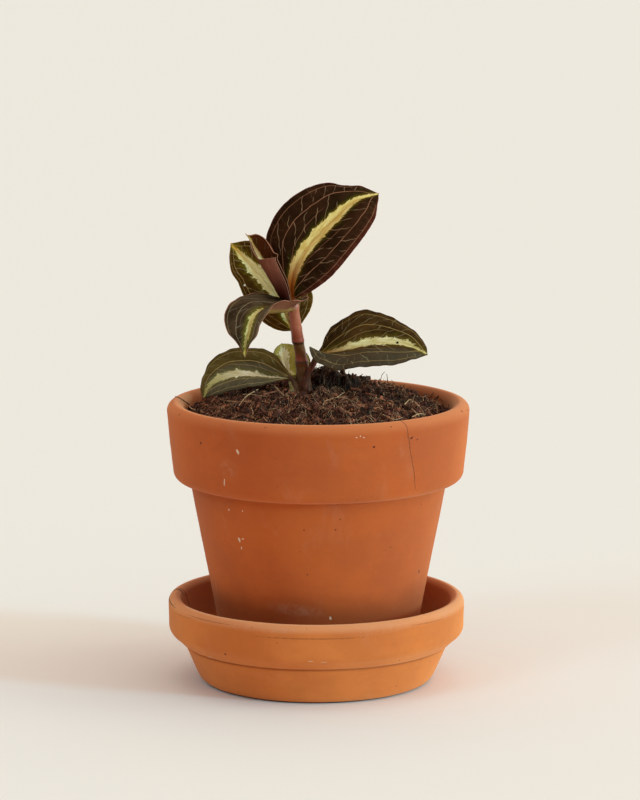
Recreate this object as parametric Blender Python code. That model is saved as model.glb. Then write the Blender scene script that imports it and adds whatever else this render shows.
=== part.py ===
"""Potted jewel orchid: a leaning stem with seven leaves, standing in potting mix in a clay pot on its saucer.

Lengths in the tables below are in millimetres and are turned to metres when a mesh is made. The origin is
the middle of the saucer's underside, +Z is up, and the front of the pot faces -Y.
"""

import math
from dataclasses import dataclass

import bmesh
import bpy
import numpy as np

MM = 0.001
ROUND_STEPS = 48
# Points closer than these, in millimetres, are one point: on turned pieces, and on thin leaf edges
TURNED_MERGE = 0.001
EDGE_MERGE = 0.02
SHORTEST_EDGE = 0.005

# Clay pot: a nominal 110 mm pot with a deep collar
POT_RIM_RADIUS = 55.0
POT_RIM_TOP = 103.0
POT_LIP_ROUND = 3.1
COLLAR_FOOT_RADIUS = 53.0
COLLAR_FOOT_Z = 78.2
COLLAR_CORNER = 3.8
BODY_TOP_RADIUS = 46.5
BODY_TOP_Z = 72.0
BODY_FOOT_RADIUS = 34.1
POT_FLOOR_THICKNESS = 5.6
DRAIN_RADIUS = 6.5
COLLAR_WIDEST_Z = 95.5
COLLAR_SWELL = 0.3
FOOT_BEVEL = 1.2
# Inner wall of the pot as (radius, height), from just under the lip down to its floor
POT_INNER = ((47.6, 80.0), (42.3, 70.0), (31.4, 14.0))
POT_FLOOR_EDGE_RADIUS = 30.0

# Saucer, whose axis lies a little to the left of the pot's
SAUCER_SHIFT_X = -0.8
SAUCER_RADIUS = 54.2
SAUCER_HEIGHT = 31.2
SAUCER_FLOOR = 6.3
SAUCER_BASE_RADIUS = 40.2
SAUCER_STEP_RADIUS = 48.4
SAUCER_STEP_Z = 13.6
SAUCER_LIP_ROUND = 2.45
SAUCER_BAND_CORNER = 4.2
SAUCER_BAND_Z = 20.5
SAUCER_BAND_INSET = 0.2
SAUCER_STEP_CUT = (0.6, 0.9)
# Rounded foot and inner wall of the saucer as (radius, height)
SAUCER_FOOT = ((42.6, 1.4), (44.2, 4.0))
SAUCER_INNER = ((48.0, 22.0), (44.6, 11.8), (42.8, 8.4), (40.4, 6.8), (38.0, SAUCER_FLOOR))

# Clearances between pieces that touch or rest on each other
REST_GAP = 0.3
WALL_GAP = 0.35

# Potting mix: a low dome with one high clod behind the stem
SOIL_EDGE_RADIUS = 48.35
SOIL_EDGE_Z = 98.0
SOIL_RISE = 7.6
SOIL_RINGS = 9
CLOD_CENTRE = (8.0, 22.0)
CLOD_SPREAD = (11.0, 9.0)
CLOD_HEIGHT = 5.4
LUMP_HEIGHT = 0.55
DOME_POWER = 2.6

# Stem: x, y, z and radius along it, from its buried foot to its top
STEM_POINTS = (
    (-5.5, 7.0, 86.0, 3.3),
    (-5.5, 7.0, 96.0, 3.3),
    (-5.5, 7.0, 106.0, 3.3),
    (-5.6, 6.7, 110.5, 2.8),
    (-5.9, 6.2, 114.5, 2.35),
    (-6.1, 6.0, 116.8, 2.4),
    (-6.4, 5.7, 118.6, 2.05),
    (-7.2, 4.9, 123.2, 2.1),
    (-7.4, 4.7, 124.2, 2.4),
    (-8.1, 3.7, 129.0, 2.4),
    (-8.8, 2.7, 134.5, 2.25),
    (-9.1, 2.3, 138.0, 2.2),
    (-9.2, 2.2, 138.7, 1.7),
)
STEM_SECTIONS = 32
STEM_FOOT_Z = 86.0

# Leaf blades
BLADE_THICKNESS = 0.62
KEEL_AT_BASE = 1.1
KEEL_AT_TIP = 0.15
KEEL_HALF_WIDTH = 1.1
PETIOLE_ROWS = 3
BLADE_ROWS = 14
HALF_COLUMNS = 5
# Rows and columns lie closer together near the petiole and the midrib
ROW_SPACING_POWER = 1.15
COLUMN_SPACING_POWER = 1.25
# How far a blade of crown 1 bulges between its midrib and margin, as a share of its half width, times 4
CROWN_BULGE = 0.48


@dataclass(frozen=True)
class Leaf:
    """A leaf lofted across three rails: its midrib and its two margins, each from the petiole to the tip."""

    name: str
    colour: tuple
    crown: float
    petiole_radius: float
    petiole: tuple
    midrib: tuple
    left: tuple
    right: tuple


LEAVES = (
    Leaf("leaf_upright", (0.075, 0.040, 0.020), 0.9, 0.9,
         petiole=((-9.2, 3.3, 137.0), (-9.2, 3.9, 138.8)),
         midrib=((-9.5, 4.2, 140), (-10, 4.3, 143.5), (-9, 4.6, 149), (-6.5, 5, 155), (-1.5, 6.5, 161.5),
                 (5.5, 8.5, 168.5), (13.5, 11.5, 175), (22, 15.5, 177)),
         left=((-10, 4.4, 140), (-13.5, 6, 145.5), (-17.5, 7.5, 153), (-19, 8, 161), (-17.5, 7.5, 166.5),
               (-13, 8, 173.5), (-5.5, 9, 179), (2.5, 10, 181.5), (9, 11.5, 180.5), (15, 13, 180),
               (22, 15.5, 177)),
         right=((-9, 4, 140), (-6.5, 3.3, 140.8), (-2, 3, 143), (5, 2.5, 148.5), (11.5, 4, 156), (17, 6, 163),
                (20.5, 8.5, 168.5), (21.5, 12, 172.5), (22, 15.5, 177))),
    Leaf("leaf_back", (0.110, 0.070, 0.025), 0.9, 0.9,
         petiole=((-8, 4, 126.5), (-8.2, 5.8, 127)),
         midrib=((-8.5, 7.4, 127.6), (-11, 8, 131), (-13.5, 9, 136.5), (-17, 10, 142.5), (-21.5, 11, 148),
                 (-27, 12, 153.5), (-32, 13, 159)),
         left=((-9, 7.4, 127.5), (-14, 8, 127.5), (-19.5, 9, 130), (-24.5, 10.5, 135), (-27.5, 11.5, 140),
               (-29.5, 12, 145), (-31.5, 11.5, 148), (-32.5, 12, 153), (-32, 13, 159)),
         right=((-8, 7.4, 127.6), (-5.5, 8, 131), (-3, 9, 135), (-2, 10, 139.5), (-4.5, 11, 146.5),
                (-9.5, 12, 153.5), (-17.5, 13, 158.5), (-25, 13, 160), (-32, 13, 159))),
    Leaf("leaf_drooping", (0.085, 0.050, 0.028), 0.8, 1.2,
         petiole=((-8.6, 1.8, 136.2), (-9.6, 0, 136.7)),
         midrib=((-10.7, -1.2, 136.8), (-13, -2.5, 136.5), (-17, -4.5, 136.5), (-21, -6.5, 136.5),
                 (-24, -8, 134), (-25, -8.5, 130), (-26.5, -8, 125), (-26.5, -7.5, 120)),
         left=((-4.5, 0, 142), (-3.5, -1.5, 141), (-5.5, -2.5, 140), (-9, -3.7, 140.5), (-13, -5, 140.5),
               (-16, -7, 139), (-18.5, -8.5, 136), (-21, -9, 132), (-22, -9, 128.5), (-24.5, -8.5, 125),
               (-26.5, -7.5, 120)),
         right=((-12.5, 1.5, 139.2), (-14.5, 3.3, 140.8), (-18, 3.5, 141.5), (-22.5, 2.5, 142),
                (-28, -0.5, 141.5), (-32.5, -4, 138.5), (-34, -7, 135), (-33, -9, 130), (-29.5, -8.5, 125.5),
                (-26.5, -7.5, 120))),
    Leaf("leaf_low_left", (0.095, 0.085, 0.045), 1.0, 1.0,
         petiole=((-5.5, 6.5, 106.8), (-8, 5.5, 108.8)),
         midrib=((-10, 6, 110.4), (-13, 7, 111), (-18.5, 10, 111.5), (-25, 13.5, 111), (-32.5, 17, 108.5),
                 (-38.5, 19, 104.5), (-42.5, 20, 100.5)),
         left=((-10, 5.5, 110), (-12.5, 4.5, 110), (-18.5, 4, 108.5), (-25, 5.5, 107), (-31.5, 9.5, 105),
               (-37.5, 14, 102.6), (-40.5, 17.5, 101.2), (-42.5, 20, 100.5)),
         right=((-10, 6.8, 111), (-12.5, 8, 114.5), (-15.5, 10.5, 118), (-20.5, 16.5, 119.5),
                (-27, 22.5, 119), (-34, 26.5, 117.5), (-40, 27.5, 113), (-43, 26, 107.5), (-43.5, 23, 103.8),
                (-42.5, 20, 100.5))),
    Leaf("leaf_small", (0.260, 0.230, 0.060), 0.5, 0.9,
         petiole=((-5.5, 7.5, 107), (-8.2, 9, 109)),
         midrib=((-10.5, 9.6, 110.5), (-11.5, 11, 112), (-12.5, 12.5, 115.5), (-13, 13.5, 119),
                 (-13.5, 13.5, 122)),
         left=((-11, 10, 110.5), (-13.5, 11.5, 112), (-16, 13, 115), (-16.5, 13, 118.5), (-15.5, 13.5, 120.5),
               (-13.5, 13.5, 122)),
         right=((-10, 9.6, 110.5), (-7, 11, 111), (-4, 12.5, 113), (-3, 13, 116), (-5.5, 14, 119.5),
                (-9.5, 14, 121.5), (-13.5, 13.5, 122))),
    Leaf("leaf_low_right", (0.100, 0.075, 0.035), 0.9, 1.0,
         petiole=((-5.5, 6.3, 110.5), (-3.2, 5, 113.8)),
         midrib=((-1.4, 3.6, 117.2), (1.5, 2.5, 120), (5.5, 1.5, 121), (12, 1, 123.5), (18.5, 1, 125.5),
                 (25, 0, 126), (31, -1, 125), (36, -2.5, 123), (39.5, -4, 120.5)),
         left=((-1.2, 4, 117.8), (0.5, 5.5, 121), (3, 8, 126.5), (7, 9.5, 130.5), (12.5, 10.5, 133.5),
               (17.5, 10.5, 135), (23.5, 9.5, 133.5), (30, 7, 131), (36, 3.5, 127), (39, -0.5, 123.5),
               (39.5, -4, 120.5)),
         right=((-1.9, 3.2, 117.6), (-3, 1, 122.5), (-3, -1, 121), (-1.5, -3.5, 118.5), (2.5, -6, 116.5),
                (8, -8, 115.5), (15.5, -9.5, 117), (25, -10, 117.5), (33, -8.5, 119), (39.5, -4, 120.5))),
)

# Furled leaf: a tube rolled round an axis, opening to a scoop. Each row of the axis is x, y, z and radius
FURLED_AXIS = (
    (-10.2, 1.8, 137.8, 1.0),
    (-11.2, 1.4, 140.0, 1.3),
    (-12.2, 1.0, 142.0, 1.9),
    (-14.5, 0.0, 146.0, 2.7),
    (-16.6, 0.0, 150.0, 2.8),
    (-18.6, 0.5, 154.0, 3.1),
    (-20.4, 1.0, 158.0, 3.4),
    (-22.0, 1.5, 160.6, 3.1),
    (-24.0, 2.0, 162.5, 1.9),
    (-26.5, 3.0, 164.0, 0.25),
)
FURLED_COLOUR = (0.420, 0.200, 0.190)
FURLED_ROWS = 20
FURLED_COLUMNS = 16
FURLED_MIDRIB_DEG = 220.0
# Angles of the two margins round the axis at a few stations, from 0 at the foot to 1 at the tip
FURLED_STATIONS = (0.0, 0.60, 0.68, 0.86, 1.0)
FURLED_LEFT_DEG = (30.0, 26.0, 160.0, 190.0, 212.0)
FURLED_RIGHT_DEG = (364.0, 364.0, 378.0, 374.0, 228.0)

# Colours
CLAY = (0.420, 0.130, 0.045)
SAUCER_CLAY = (0.500, 0.190, 0.070)
SOIL_BROWN = (0.060, 0.030, 0.018)
STEM_BROWN = (0.270, 0.085, 0.050)


def clear_scene():
    """Remove every object that the open file holds."""
    for item in list(bpy.data.objects):
        bpy.data.objects.remove(item, do_unlink=True)


def material(name, colour, roughness):
    """Return a plain material in the given colour and roughness."""
    made = bpy.data.materials.new(name)
    made.use_nodes = True
    shader = made.node_tree.nodes["Principled BSDF"]
    shader.inputs["Base Color"].default_value = (*colour, 1.0)
    shader.inputs["Roughness"].default_value = roughness
    shader.inputs["Metallic"].default_value = 0.0
    return made


def add_object(name, bm, colour, roughness, sharp_deg=40.0):
    """Turn a bmesh in millimetres into a smooth-shaded object in metres with a material of its own."""
    bmesh.ops.recalc_face_normals(bm, faces=bm.faces[:])
    bmesh.ops.scale(bm, vec=(MM, MM, MM), verts=bm.verts[:])
    mesh = bpy.data.meshes.new(name)
    bm.to_mesh(mesh)
    bm.free()
    mesh.shade_smooth()
    mesh.set_sharp_from_angle(angle=math.radians(sharp_deg))
    mesh.materials.append(material(name, colour, roughness))
    made = bpy.data.objects.new(name, mesh)
    bpy.context.scene.collection.objects.link(made)
    return made


def arc(centre_r, centre_z, radius, start_deg, end_deg, steps):
    """Return points (r, z) along an arc of a turned profile."""
    turns = np.radians(np.linspace(start_deg, end_deg, steps + 1))
    return [(centre_r + radius * math.cos(a), centre_z + radius * math.sin(a)) for a in turns]


def smooth_curve(points, count):
    """Return count rows evenly spaced along a centripetal Catmull-Rom curve through rows of x, y, z, ..."""
    rows = np.array(points, dtype=float)
    rows = np.vstack([2 * rows[0] - rows[1], rows, 2 * rows[-1] - rows[-2]])
    steps = np.linalg.norm(np.diff(rows[:, :3], axis=0), axis=1)
    knots = np.concatenate([[0.0], np.cumsum(np.sqrt(np.maximum(steps, 1e-6)))])

    def blend(first, second, low, high, at):
        share = ((at - low) / (high - low))[:, None]
        return first * (1 - share) + second * share

    dense = []
    for i in range(1, len(rows) - 2):
        at = np.linspace(knots[i], knots[i + 1], 20, endpoint=False)
        k = knots[i - 1:i + 3]
        one = blend(rows[i - 1], rows[i], k[0], k[1], at)
        two = blend(rows[i], rows[i + 1], k[1], k[2], at)
        three = blend(rows[i + 1], rows[i + 2], k[2], k[3], at)
        dense.append(blend(blend(one, two, k[0], k[2], at), blend(two, three, k[1], k[3], at), k[1], k[2], at))
    dense = np.vstack(dense + [rows[-2:-1]])
    lengths = np.concatenate([[0.0], np.cumsum(np.linalg.norm(np.diff(dense[:, :3], axis=0), axis=1))])
    wanted = np.linspace(0.0, lengths[-1], count)
    return np.column_stack([np.interp(wanted, lengths, column) for column in dense.T])


def turned(profile, closed):
    """Spin a profile of (r, z) points about the Z axis into a closed solid."""
    bm = bmesh.new()
    points = [bm.verts.new((r, 0.0, z)) for r, z in profile]
    edges = [bm.edges.new(pair) for pair in zip(points, points[1:])]
    if closed:
        edges.append(bm.edges.new((points[-1], points[0])))
    bmesh.ops.spin(bm, geom=points + edges, cent=(0, 0, 0), axis=(0, 0, 1), dvec=(0, 0, 0),
                   angle=2 * math.pi, steps=ROUND_STEPS, use_merge=True)
    bmesh.ops.remove_doubles(bm, verts=bm.verts[:], dist=TURNED_MERGE)
    return bm


def make_saucer():
    """Make the saucer: a flat base, a rounded foot, a step and a deep rounded lip."""
    lip_r = SAUCER_RADIUS - SAUCER_LIP_ROUND
    lip_z = SAUCER_HEIGHT - SAUCER_LIP_ROUND
    corner = SAUCER_BAND_CORNER
    profile = [(0.0, 0.0), (SAUCER_BASE_RADIUS, 0.0), *SAUCER_FOOT]
    profile += [(SAUCER_STEP_RADIUS - SAUCER_STEP_CUT[0], SAUCER_STEP_Z - SAUCER_STEP_CUT[1])]
    profile += [(SAUCER_STEP_RADIUS, SAUCER_STEP_Z)]
    profile += arc(SAUCER_RADIUS - corner - SAUCER_BAND_INSET, SAUCER_BAND_Z, corner, -58, 0, 3)
    profile += arc(lip_r, lip_z, SAUCER_LIP_ROUND, 0, 180, 6)
    profile += [*SAUCER_INNER, (0.0, SAUCER_FLOOR)]
    bm = turned(profile, closed=False)
    bmesh.ops.translate(bm, verts=bm.verts[:], vec=(SAUCER_SHIFT_X, 0, 0))
    return add_object("saucer", bm, SAUCER_CLAY, 0.85)


def make_pot():
    """Make the pot: a tapered body under a deep collar with a rounded lip, and a drain hole in its floor."""
    foot_z = SAUCER_FLOOR + REST_GAP
    floor_z = foot_z + POT_FLOOR_THICKNESS
    lip_r = POT_RIM_RADIUS - POT_LIP_ROUND
    lip_z = POT_RIM_TOP - POT_LIP_ROUND
    profile = [(DRAIN_RADIUS, foot_z), (BODY_FOOT_RADIUS - FOOT_BEVEL, foot_z)]
    profile += [(BODY_FOOT_RADIUS, foot_z + FOOT_BEVEL)]
    profile += [(BODY_TOP_RADIUS, BODY_TOP_Z)]
    profile += arc(COLLAR_FOOT_RADIUS - COLLAR_CORNER, COLLAR_FOOT_Z, COLLAR_CORNER, -75, 0, 4)
    profile += [(POT_RIM_RADIUS - COLLAR_SWELL, COLLAR_WIDEST_Z)]
    profile += arc(lip_r, lip_z, POT_LIP_ROUND, 0, 180, 6)
    profile += [*POT_INNER, (POT_FLOOR_EDGE_RADIUS, floor_z), (DRAIN_RADIUS, floor_z)]
    return add_object("pot", turned(profile, closed=True), CLAY, 0.85)


def soil_height(x, y):
    """Return the height of the potting mix at a place, in millimetres."""
    away = min(math.hypot(x, y) / SOIL_EDGE_RADIUS, 1.0)
    dome = SOIL_EDGE_Z + SOIL_RISE * (1 - away ** DOME_POWER)
    clod = CLOD_HEIGHT * math.exp(-((x - CLOD_CENTRE[0]) / CLOD_SPREAD[0]) ** 2 / 2
                                  - ((y - CLOD_CENTRE[1]) / CLOD_SPREAD[1]) ** 2 / 2)
    lumps = math.sin(0.55 * x + 1.3) * math.sin(0.48 * y + 0.4) + 0.6 * math.sin(0.9 * y - 0.35 * x)
    return dome + clod + LUMP_HEIGHT * lumps * (1 - away ** 4)


def make_soil(hole):
    """Make the potting mix: it fills the pot and has a plain hole that the stem stands in."""
    floor_z = SAUCER_FLOOR + REST_GAP + POT_FLOOR_THICKNESS + REST_GAP
    profile = [(0.0, floor_z), (POT_FLOOR_EDGE_RADIUS - WALL_GAP, floor_z)]
    profile += [(r - WALL_GAP, z) for r, z in reversed(POT_INNER)]
    profile += [(SOIL_EDGE_RADIUS, SOIL_EDGE_Z)]
    spacing = SOIL_EDGE_RADIUS / SOIL_RINGS
    profile += [(spacing * ring, POT_RIM_TOP) for ring in range(SOIL_RINGS - 1, -1, -1)]
    bm = turned(profile, closed=False)
    for vert in bm.verts:
        if vert.co.z > SOIL_EDGE_Z + 1.0:
            vert.co.z = soil_height(vert.co.x, vert.co.y)
    bmesh.ops.triangulate(bm, faces=bm.faces[:])
    soil = add_object("soil", bm, SOIL_BROWN, 0.95)
    cut(soil, hole)
    return soil


def cut(body, cutter):
    """Take a cutter's shape out of a body."""
    boolean = body.modifiers.new("cut_by_" + cutter.name, "BOOLEAN")
    boolean.operation = "DIFFERENCE"
    boolean.solver = "EXACT"
    boolean.object = cutter


def make_stem(name, clearance, foot_z, colour):
    """Sweep the stem with a clearance added to its radius, from its foot at the given height."""
    points = [(x, y, max(z, foot_z), r + clearance) for x, y, z, r in STEM_POINTS]
    rows = smooth_curve([(*points[0][:2], foot_z, points[0][3])] + points[1:], STEM_SECTIONS)
    if clearance:
        rows[-1, 2] += clearance
    path = bpy.data.curves.new(name + "_path", "CURVE")
    path.dimensions = "3D"
    path.bevel_depth = MM
    path.bevel_resolution = 3
    path.use_fill_caps = True
    spline = path.splines.new("POLY")
    spline.points.add(len(rows) - 1)
    for point, row in zip(spline.points, rows):
        point.co = (*(row[:3] * MM), 1.0)
        point.radius = row[3]
    curve_object = bpy.data.objects.new(name + "_path", path)
    bpy.context.scene.collection.objects.link(curve_object)
    bpy.context.view_layer.update()
    graph = bpy.context.evaluated_depsgraph_get()
    mesh = bpy.data.meshes.new_from_object(curve_object.evaluated_get(graph))
    bpy.data.objects.remove(curve_object, do_unlink=True)
    bm = bmesh.new()
    bm.from_mesh(mesh)
    bpy.data.meshes.remove(mesh)
    bmesh.ops.remove_doubles(bm, verts=bm.verts[:], dist=0.000001)
    bmesh.ops.scale(bm, vec=(1 / MM, 1 / MM, 1 / MM), verts=bm.verts[:])
    return add_object(name, bm, colour, 0.35)


def unit(rows):
    """Scale each row to length one."""
    return rows / np.maximum(np.linalg.norm(rows, axis=-1, keepdims=True), 1e-9)


def leaf_rows(leaf):
    """Return the left margin, midrib and right margin of each row of a leaf, petiole first."""
    stations = np.linspace(0.0, 1.0, BLADE_ROWS + 1)[1:] ** ROW_SPACING_POWER
    dense = 201
    rails = [smooth_curve(rail, dense) for rail in (leaf.left, leaf.midrib, leaf.right)]
    blade = [np.column_stack([np.interp(stations * (dense - 1), np.arange(dense), axis) for axis in rail.T])
             for rail in rails]
    stalk = smooth_curve(leaf.petiole + leaf.midrib[:1], PETIOLE_ROWS + 1)
    across = unit(blade[2][0] - blade[0][0])
    left = np.vstack([stalk - across * leaf.petiole_radius, blade[0]])
    middle = np.vstack([stalk, blade[1]])
    right = np.vstack([stalk + across * leaf.petiole_radius, blade[2]])
    return left, middle, right


def leaf_surface(leaf):
    """Return the upper face of a leaf as a grid of points, and how thick the leaf is below each."""
    left, middle, right = leaf_rows(leaf)
    shares = np.linspace(-1.0, 1.0, 2 * HALF_COLUMNS + 1)
    shares = np.sign(shares) * np.abs(shares) ** COLUMN_SPACING_POWER
    face = unit(np.cross(right - left, np.gradient(middle, axis=0)))
    half_width = np.linalg.norm(right - left, axis=1) / 2
    along = np.linspace(0.0, 1.0, len(middle))
    keel = KEEL_AT_BASE + (KEEL_AT_TIP - KEEL_AT_BASE) * np.sqrt(along)
    top = np.zeros((len(middle), len(shares), 3))
    thickness = np.zeros((len(middle), len(shares)))
    for column, share in enumerate(shares):
        side = abs(share)
        margin = left if share < 0 else right
        crown = leaf.crown * CROWN_BULGE * half_width * side * (1 - side)
        top[:, column] = middle + (margin - middle) * side + face * crown[:, None]
        distance = side * half_width
        thickness[:, column] = BLADE_THICKNESS + keel * np.exp(-(distance / KEEL_HALF_WIDTH) ** 2)
    return top, thickness


def thick_sheet(top, thickness):
    """Make a closed sheet from a grid of points on its upper face, split alike on both faces."""
    rows, columns = top.shape[:2]
    bm = bmesh.new()
    grid = [[bm.verts.new(point) for point in row] for row in top]
    for i in range(rows - 1):
        for j in range(columns - 1):
            a, b, c, d = grid[i][j], grid[i][j + 1], grid[i + 1][j + 1], grid[i + 1][j]
            bm.faces.new((a, b, c))
            bm.faces.new((a, c, d))
    bm.normal_update()
    normals = {vert: vert.normal.copy() for vert in bm.verts}
    depth = {grid[i][j]: thickness[i, j] for i in range(rows) for j in range(columns)}
    under = bmesh.ops.duplicate(bm, geom=bm.verts[:] + bm.edges[:] + bm.faces[:])
    matching = under["vert_map"]
    rim = [edge for edge in bm.edges if edge.is_boundary]
    for vert, offset in depth.items():
        matching[vert].co = vert.co - normals[vert] * offset
    bmesh.ops.reverse_faces(bm, faces=[f for f in under["geom"] if isinstance(f, bmesh.types.BMFace)])
    bmesh.ops.bridge_loops(bm, edges=rim)
    bmesh.ops.triangulate(bm, faces=bm.faces[:])
    bmesh.ops.remove_doubles(bm, verts=bm.verts[:], dist=EDGE_MERGE)
    bmesh.ops.dissolve_degenerate(bm, edges=bm.edges[:], dist=SHORTEST_EDGE)
    return bm


def make_leaf(leaf, clearance):
    """Make one flat leaf and trim its foot to the stem."""
    top, thickness = leaf_surface(leaf)
    made = add_object(leaf.name, thick_sheet(top, thickness), leaf.colour, 0.45, sharp_deg=60)
    cut(made, clearance)
    return made


def make_furled_leaf(clearance):
    """Make the young leaf that is still rolled round its own axis, with its upper end open."""
    rows = smooth_curve(FURLED_AXIS, FURLED_ROWS + 1)
    axis, radius = rows[:, :3], rows[:, 3]
    along = unit(np.gradient(axis, axis=0))
    front = np.array([0.0, -1.0, 0.0])
    front = unit(front - along * (along @ front)[:, None])
    side = unit(np.cross(front, along)) * -1.0
    side *= np.sign(side[:, :1])
    station = np.linspace(0.0, 1.0, FURLED_ROWS + 1)
    left_turn = np.interp(station, FURLED_STATIONS, FURLED_LEFT_DEG)
    right_turn = np.interp(station, FURLED_STATIONS, FURLED_RIGHT_DEG)
    top = np.zeros((FURLED_ROWS + 1, FURLED_COLUMNS + 1, 3))
    for column in range(FURLED_COLUMNS + 1):
        share = 2.0 * column / FURLED_COLUMNS - 1.0
        margin = left_turn if share < 0 else right_turn
        turn = np.radians(FURLED_MIDRIB_DEG + (margin - FURLED_MIDRIB_DEG) * abs(share))[:, None]
        top[:, column] = axis + radius[:, None] * (np.cos(turn) * side + np.sin(turn) * front)
    bm = thick_sheet(top, np.full(top.shape[:2], BLADE_THICKNESS))
    made = add_object("leaf_furled", bm, FURLED_COLOUR, 0.45, sharp_deg=60)
    cut(made, clearance)
    return made


def make_clearance():
    """Make the cutter that keeps the soil and the leaves clear of the stem."""
    cutter = make_stem("stem_clearance", REST_GAP, STEM_FOOT_Z - REST_GAP, STEM_BROWN)
    cutter.hide_render = True
    cutter.display_type = "WIRE"
    return cutter


def main():
    """Build every piece of the potted plant."""
    clear_scene()
    make_saucer()
    make_pot()
    clearance = make_clearance()
    make_soil(clearance)
    make_stem("stem", 0.0, STEM_FOOT_Z, STEM_BROWN)
    for leaf in LEAVES:
        make_leaf(leaf, clearance)
    make_furled_leaf(clearance)


main()
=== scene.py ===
"""Looks of a potted jewel orchid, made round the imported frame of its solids.

The leaves, the stem, the potting mix, the clay pot and its saucer are each made here as a finer piece that keeps the
place and form of the node it stands for. Lengths are millimetres in the row's frame, and a mesh is turned to metres
when its object is made.
"""

import sys

import logging
import math
import random
from dataclasses import dataclass
from enum import Enum
from functools import reduce

import bmesh
import bpy
import numpy as np
from mathutils import Matrix, Vector, noise


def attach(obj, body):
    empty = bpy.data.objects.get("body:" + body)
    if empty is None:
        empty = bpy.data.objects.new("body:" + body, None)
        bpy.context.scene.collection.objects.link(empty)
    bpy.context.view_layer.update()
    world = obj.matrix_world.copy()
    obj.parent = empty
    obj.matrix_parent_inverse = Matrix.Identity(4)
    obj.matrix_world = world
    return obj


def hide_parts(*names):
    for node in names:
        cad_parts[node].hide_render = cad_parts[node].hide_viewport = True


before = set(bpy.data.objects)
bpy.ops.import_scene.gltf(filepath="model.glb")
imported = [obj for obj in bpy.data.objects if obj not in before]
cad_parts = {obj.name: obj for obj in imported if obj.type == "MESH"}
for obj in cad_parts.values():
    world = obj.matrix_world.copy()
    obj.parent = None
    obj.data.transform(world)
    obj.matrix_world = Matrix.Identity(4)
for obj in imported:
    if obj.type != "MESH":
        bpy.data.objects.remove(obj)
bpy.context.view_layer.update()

LOG = logging.getLogger("orchid")
MM = 0.001
BODY = "root"
CURVE_SAMPLES = 20

Pair = tuple[float, float]
Point = tuple[float, float, float]
Triple = tuple[float, float, float]
Colour = tuple[float, float, float]
Row = tuple[float, float, float, float]
Strand = tuple[float, tuple[Point, ...]]


def tone(red: float, green: float, blue: float) -> Colour:
    """Turn a colour seen on a screen, 0 to 255, into the linear colour that shaders take.

    Args:
        red: Red as seen.
        green: Green as seen.
        blue: Blue as seen.

    Returns:
        The linear colour.
    """
    shares = (channel / 255.0 for channel in (red, green, blue))
    return tuple(s / 12.92 if s <= 0.04045 else ((s + 0.055) / 1.055) ** 2.4 for s in shares)


class Side(Enum):
    """The face of a leaf, as stored in its mesh's attribute."""

    UPPER = 0.0
    UNDER = 1.0


class Value:
    """An output of a node in a shader graph, which sums and products can be written with."""

    def __init__(self, graph: "Graph", socket: bpy.types.NodeSocket) -> None:
        """Hold the graph and the node's output."""
        self.graph, self.socket = graph, socket

    def __add__(self, other: object) -> "Value":
        """Return the sum."""
        return self.graph.calc("ADD", self, other)

    def __sub__(self, other: object) -> "Value":
        """Return the difference."""
        return self.graph.calc("SUBTRACT", self, other)

    def __rsub__(self, other: float) -> "Value":
        """Return a number less this value."""
        return self.graph.calc("SUBTRACT", other, self)

    def __mul__(self, other: object) -> "Value":
        """Return the product."""
        return self.graph.calc("MULTIPLY", self, other)

    def __truediv__(self, other: object) -> "Value":
        """Return the quotient."""
        return self.graph.calc("DIVIDE", self, other)

    def __pow__(self, power: float) -> "Value":
        """Return this value raised to a power."""
        return self.graph.calc("POWER", self, power)

    def __abs__(self) -> "Value":
        """Return this value without its sign."""
        return self.graph.calc("ABSOLUTE", self)


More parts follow.
